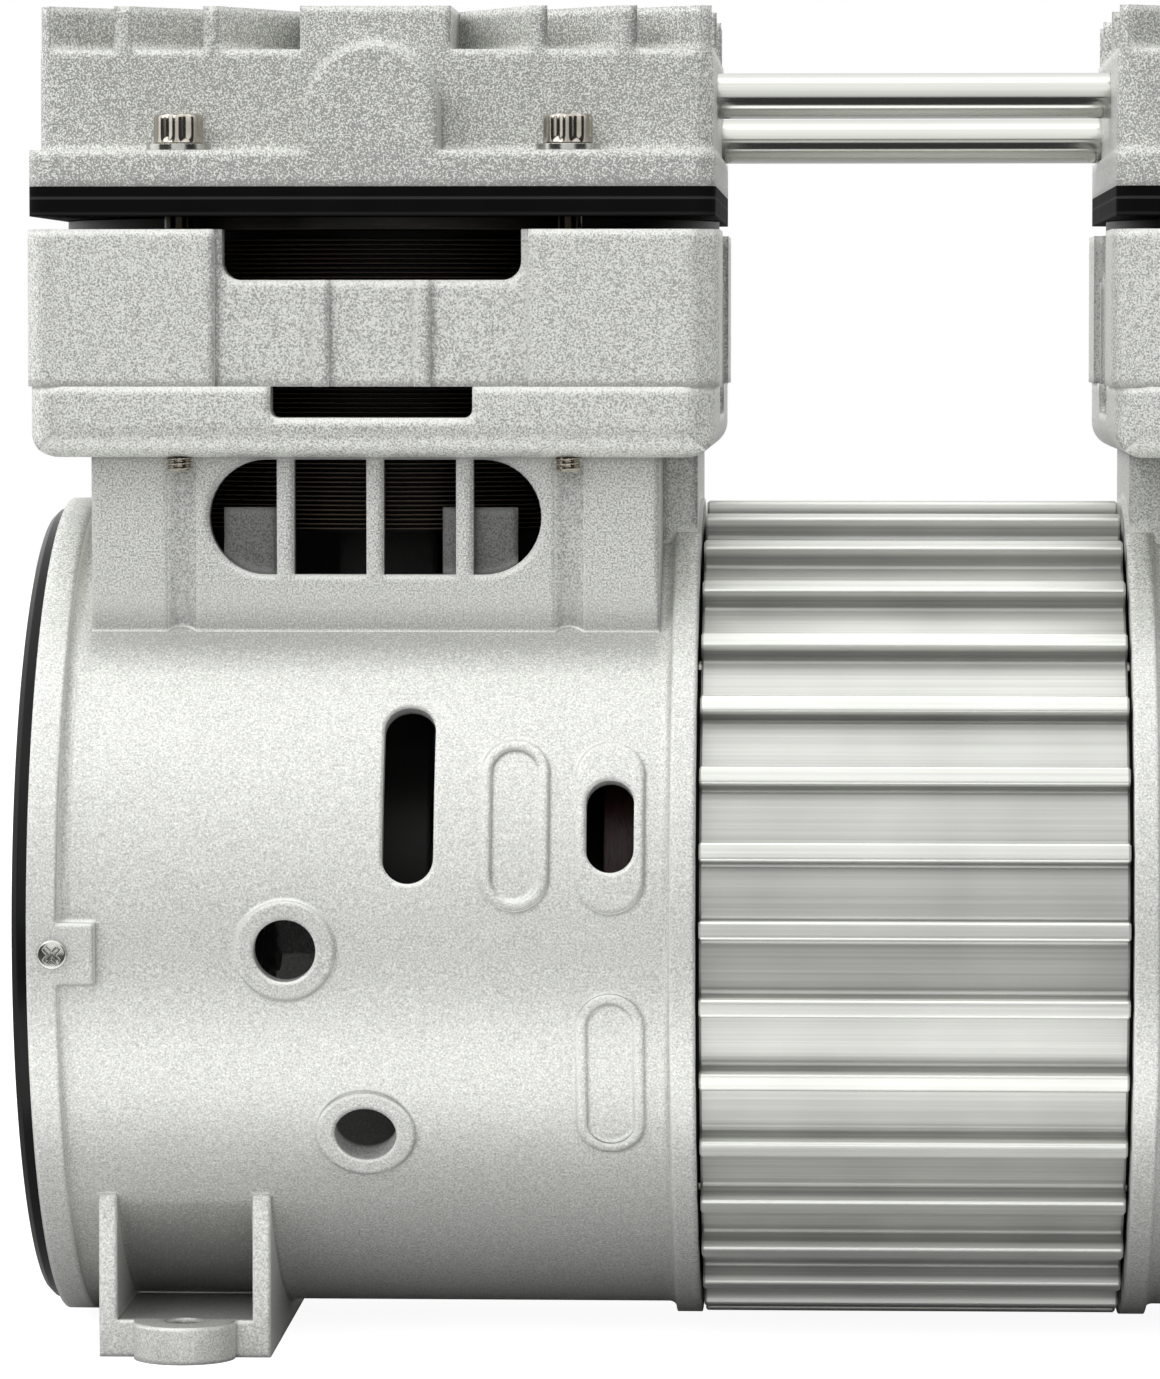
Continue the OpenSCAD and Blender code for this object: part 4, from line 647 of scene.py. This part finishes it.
stage = {
    "floorSize": 6.0,
    # the floor as the camera sees it, and as it lights the object
    "floorShade": grey(0.3),
    "floorGlow": 0.93,
    "floorBounce": grey(0.35),
    "cardColour": grey(0.03),
    # how much of the white background shows in metal, beside the lit surroundings
    "glossShare": 0.4,
    # the surroundings' light: the same from all round, then more from each side
    "even": 0.4,
    "above": 1.42,
    "front": 0.37,
    "right": 0.1,
    "left": 1.0,
}
lamps = [
    # name, place, aimed at, width, depth, watts
    ("keyLamp", (-0.75, -0.75, 0.85), (-0.03, 0.0, 0.09), 0.6, 0.6, 2.8),
    ("topLamp", (-0.03, -0.1, 1.3), (-0.03, 0.0, 0.09), 0.9, 0.7, 0.8),
    ("tableLamp", (-0.03, -0.108, 0.004), (-0.03, -0.1, 0.1), 0.5, 0.07, 0.14),
]
cards = [
    # dark cards that only reflections see: name, two opposite corners
    ("tableCard", (-1.4, -1.3, 0.001), (1.4, -0.17, 0.001)),
    ("leftCard", (-1.3, -0.5, 0.001), (-0.55, -1.25, 1.1)),
    ("rightCard", (1.3, -0.5, 0.001), (0.55, -1.25, 1.1)),
]


def sheet(name, low, high, material):
    # A flat rectangle that lies down where its corners are level, and stands up otherwise
    (x0, y0, z0), (x1, y1, z1) = low, high
    flat = z0 == z1
    corners = [(x0, y0, z0), (x1, y0 if flat else y1, z0), (x1, y1, z1), (x0, y1 if flat else y0, z1)]
    mesh = bpy.data.meshes.new(name)
    mesh.from_pydata(corners, [], [(0, 1, 2, 3)])
    mesh.materials.append(material)
    made = bpy.data.objects.new(name, mesh)
    bpy.context.collection.objects.link(made)
    return made


def makeStage():
    f = Finish("floorPaint")
    seen = f.node("ShaderNodeLightPath", {}, {}, "Is Camera Ray")
    bounce = f.node("ShaderNodeBsdfDiffuse", {}, {"Color": stage["floorBounce"]})
    shade = f.node("ShaderNodeBsdfDiffuse", {}, {"Color": stage["floorShade"]})
    glow = f.node("ShaderNodeEmission", {}, {"Color": (1, 1, 1, 1), "Strength": stage["floorGlow"]})
    shown = f.node("ShaderNodeAddShader", {}, {0: shade, 1: glow})
    chosen = f.node("ShaderNodeMixShader", {}, {0: seen, 1: bounce, 2: shown})
    f.node("ShaderNodeOutputMaterial", {}, {"Surface": chosen})
    half = stage["floorSize"] / 2
    sheet("floor", (-half, -half, 0.0), (half, half, 0.0), f.material)

    black = Finish("cardPaint")
    matt = black.node("ShaderNodeBsdfDiffuse", {}, {"Color": stage["cardColour"]})
    black.node("ShaderNodeOutputMaterial", {}, {"Surface": matt})
    for name, low, high in cards:
        card = sheet(name, low, high, black.material)
        card.visible_camera = card.visible_diffuse = card.visible_shadow = False

    world = bpy.data.worlds.new("studio")
    bpy.context.scene.world = world
    world.use_nodes = True
    w = Finish("studio", world.node_tree)
    camera, through, glossy = [w.node("ShaderNodeLightPath", {}, {}, "Is %s Ray" % ray)
                               for ray in ("Camera", "Transmission", "Glossy")]
    plain = (camera + through + glossy * stage["glossShare"]).clamped()
    direction = w.node("ShaderNodeTexCoord", {}, {}, "Generated")
    x, y, z = [w.node("ShaderNodeSeparateXYZ", {}, {"Vector": direction}, axis) for axis in range(3)]
    # each share grows with the direction's turn towards its side
    studio = (stage["even"] + z.clamped() * stage["above"] + (y * -1).clamped() ** 2.0 * stage["front"]
              + x.clamped() * stage["right"] + (x * -1).clamped() * stage["left"])
    strength = plain + (1 - plain) * studio
    sky = w.node("ShaderNodeBackground", {}, {"Color": (1, 1, 1, 1), "Strength": strength})
    w.node("ShaderNodeOutputWorld", {}, {"Surface": sky})

    for name, spot, aim, width, height, watts in lamps:
        data = bpy.data.lights.new(name, "AREA")
        data.shape = "RECTANGLE"
        data.size, data.size_y, data.energy = width, height, watts
        lamp = bpy.data.objects.new(name, data)
        bpy.context.collection.objects.link(lamp)
        lamp.location = spot
        lamp.rotation_euler = (Vector(aim) - Vector(spot)).to_track_quat("-Z", "Y").to_euler()


view = {
    "eye": (-8.7 * mm, -958.5 * mm, 142.7 * mm),
    "look": (-0.04109, 1.0, -0.05375),
    "lens": 172.6,
    "sensor": 36.0,
}


def makeCamera():
    data = bpy.data.cameras.new("camera")
    data.lens = view["lens"]
    data.sensor_width = view["sensor"]
    camera = bpy.data.objects.new("camera", data)
    bpy.context.collection.objects.link(camera)
    camera.location = view["eye"]
    camera.rotation_euler = Vector(view["look"]).to_track_quat("-Z", "Y").to_euler()
    bpy.context.scene.camera = camera


makeCamera()
makeStage()
bpy.context.scene.view_settings.view_transform = "Standard"
print("camera and stage made")
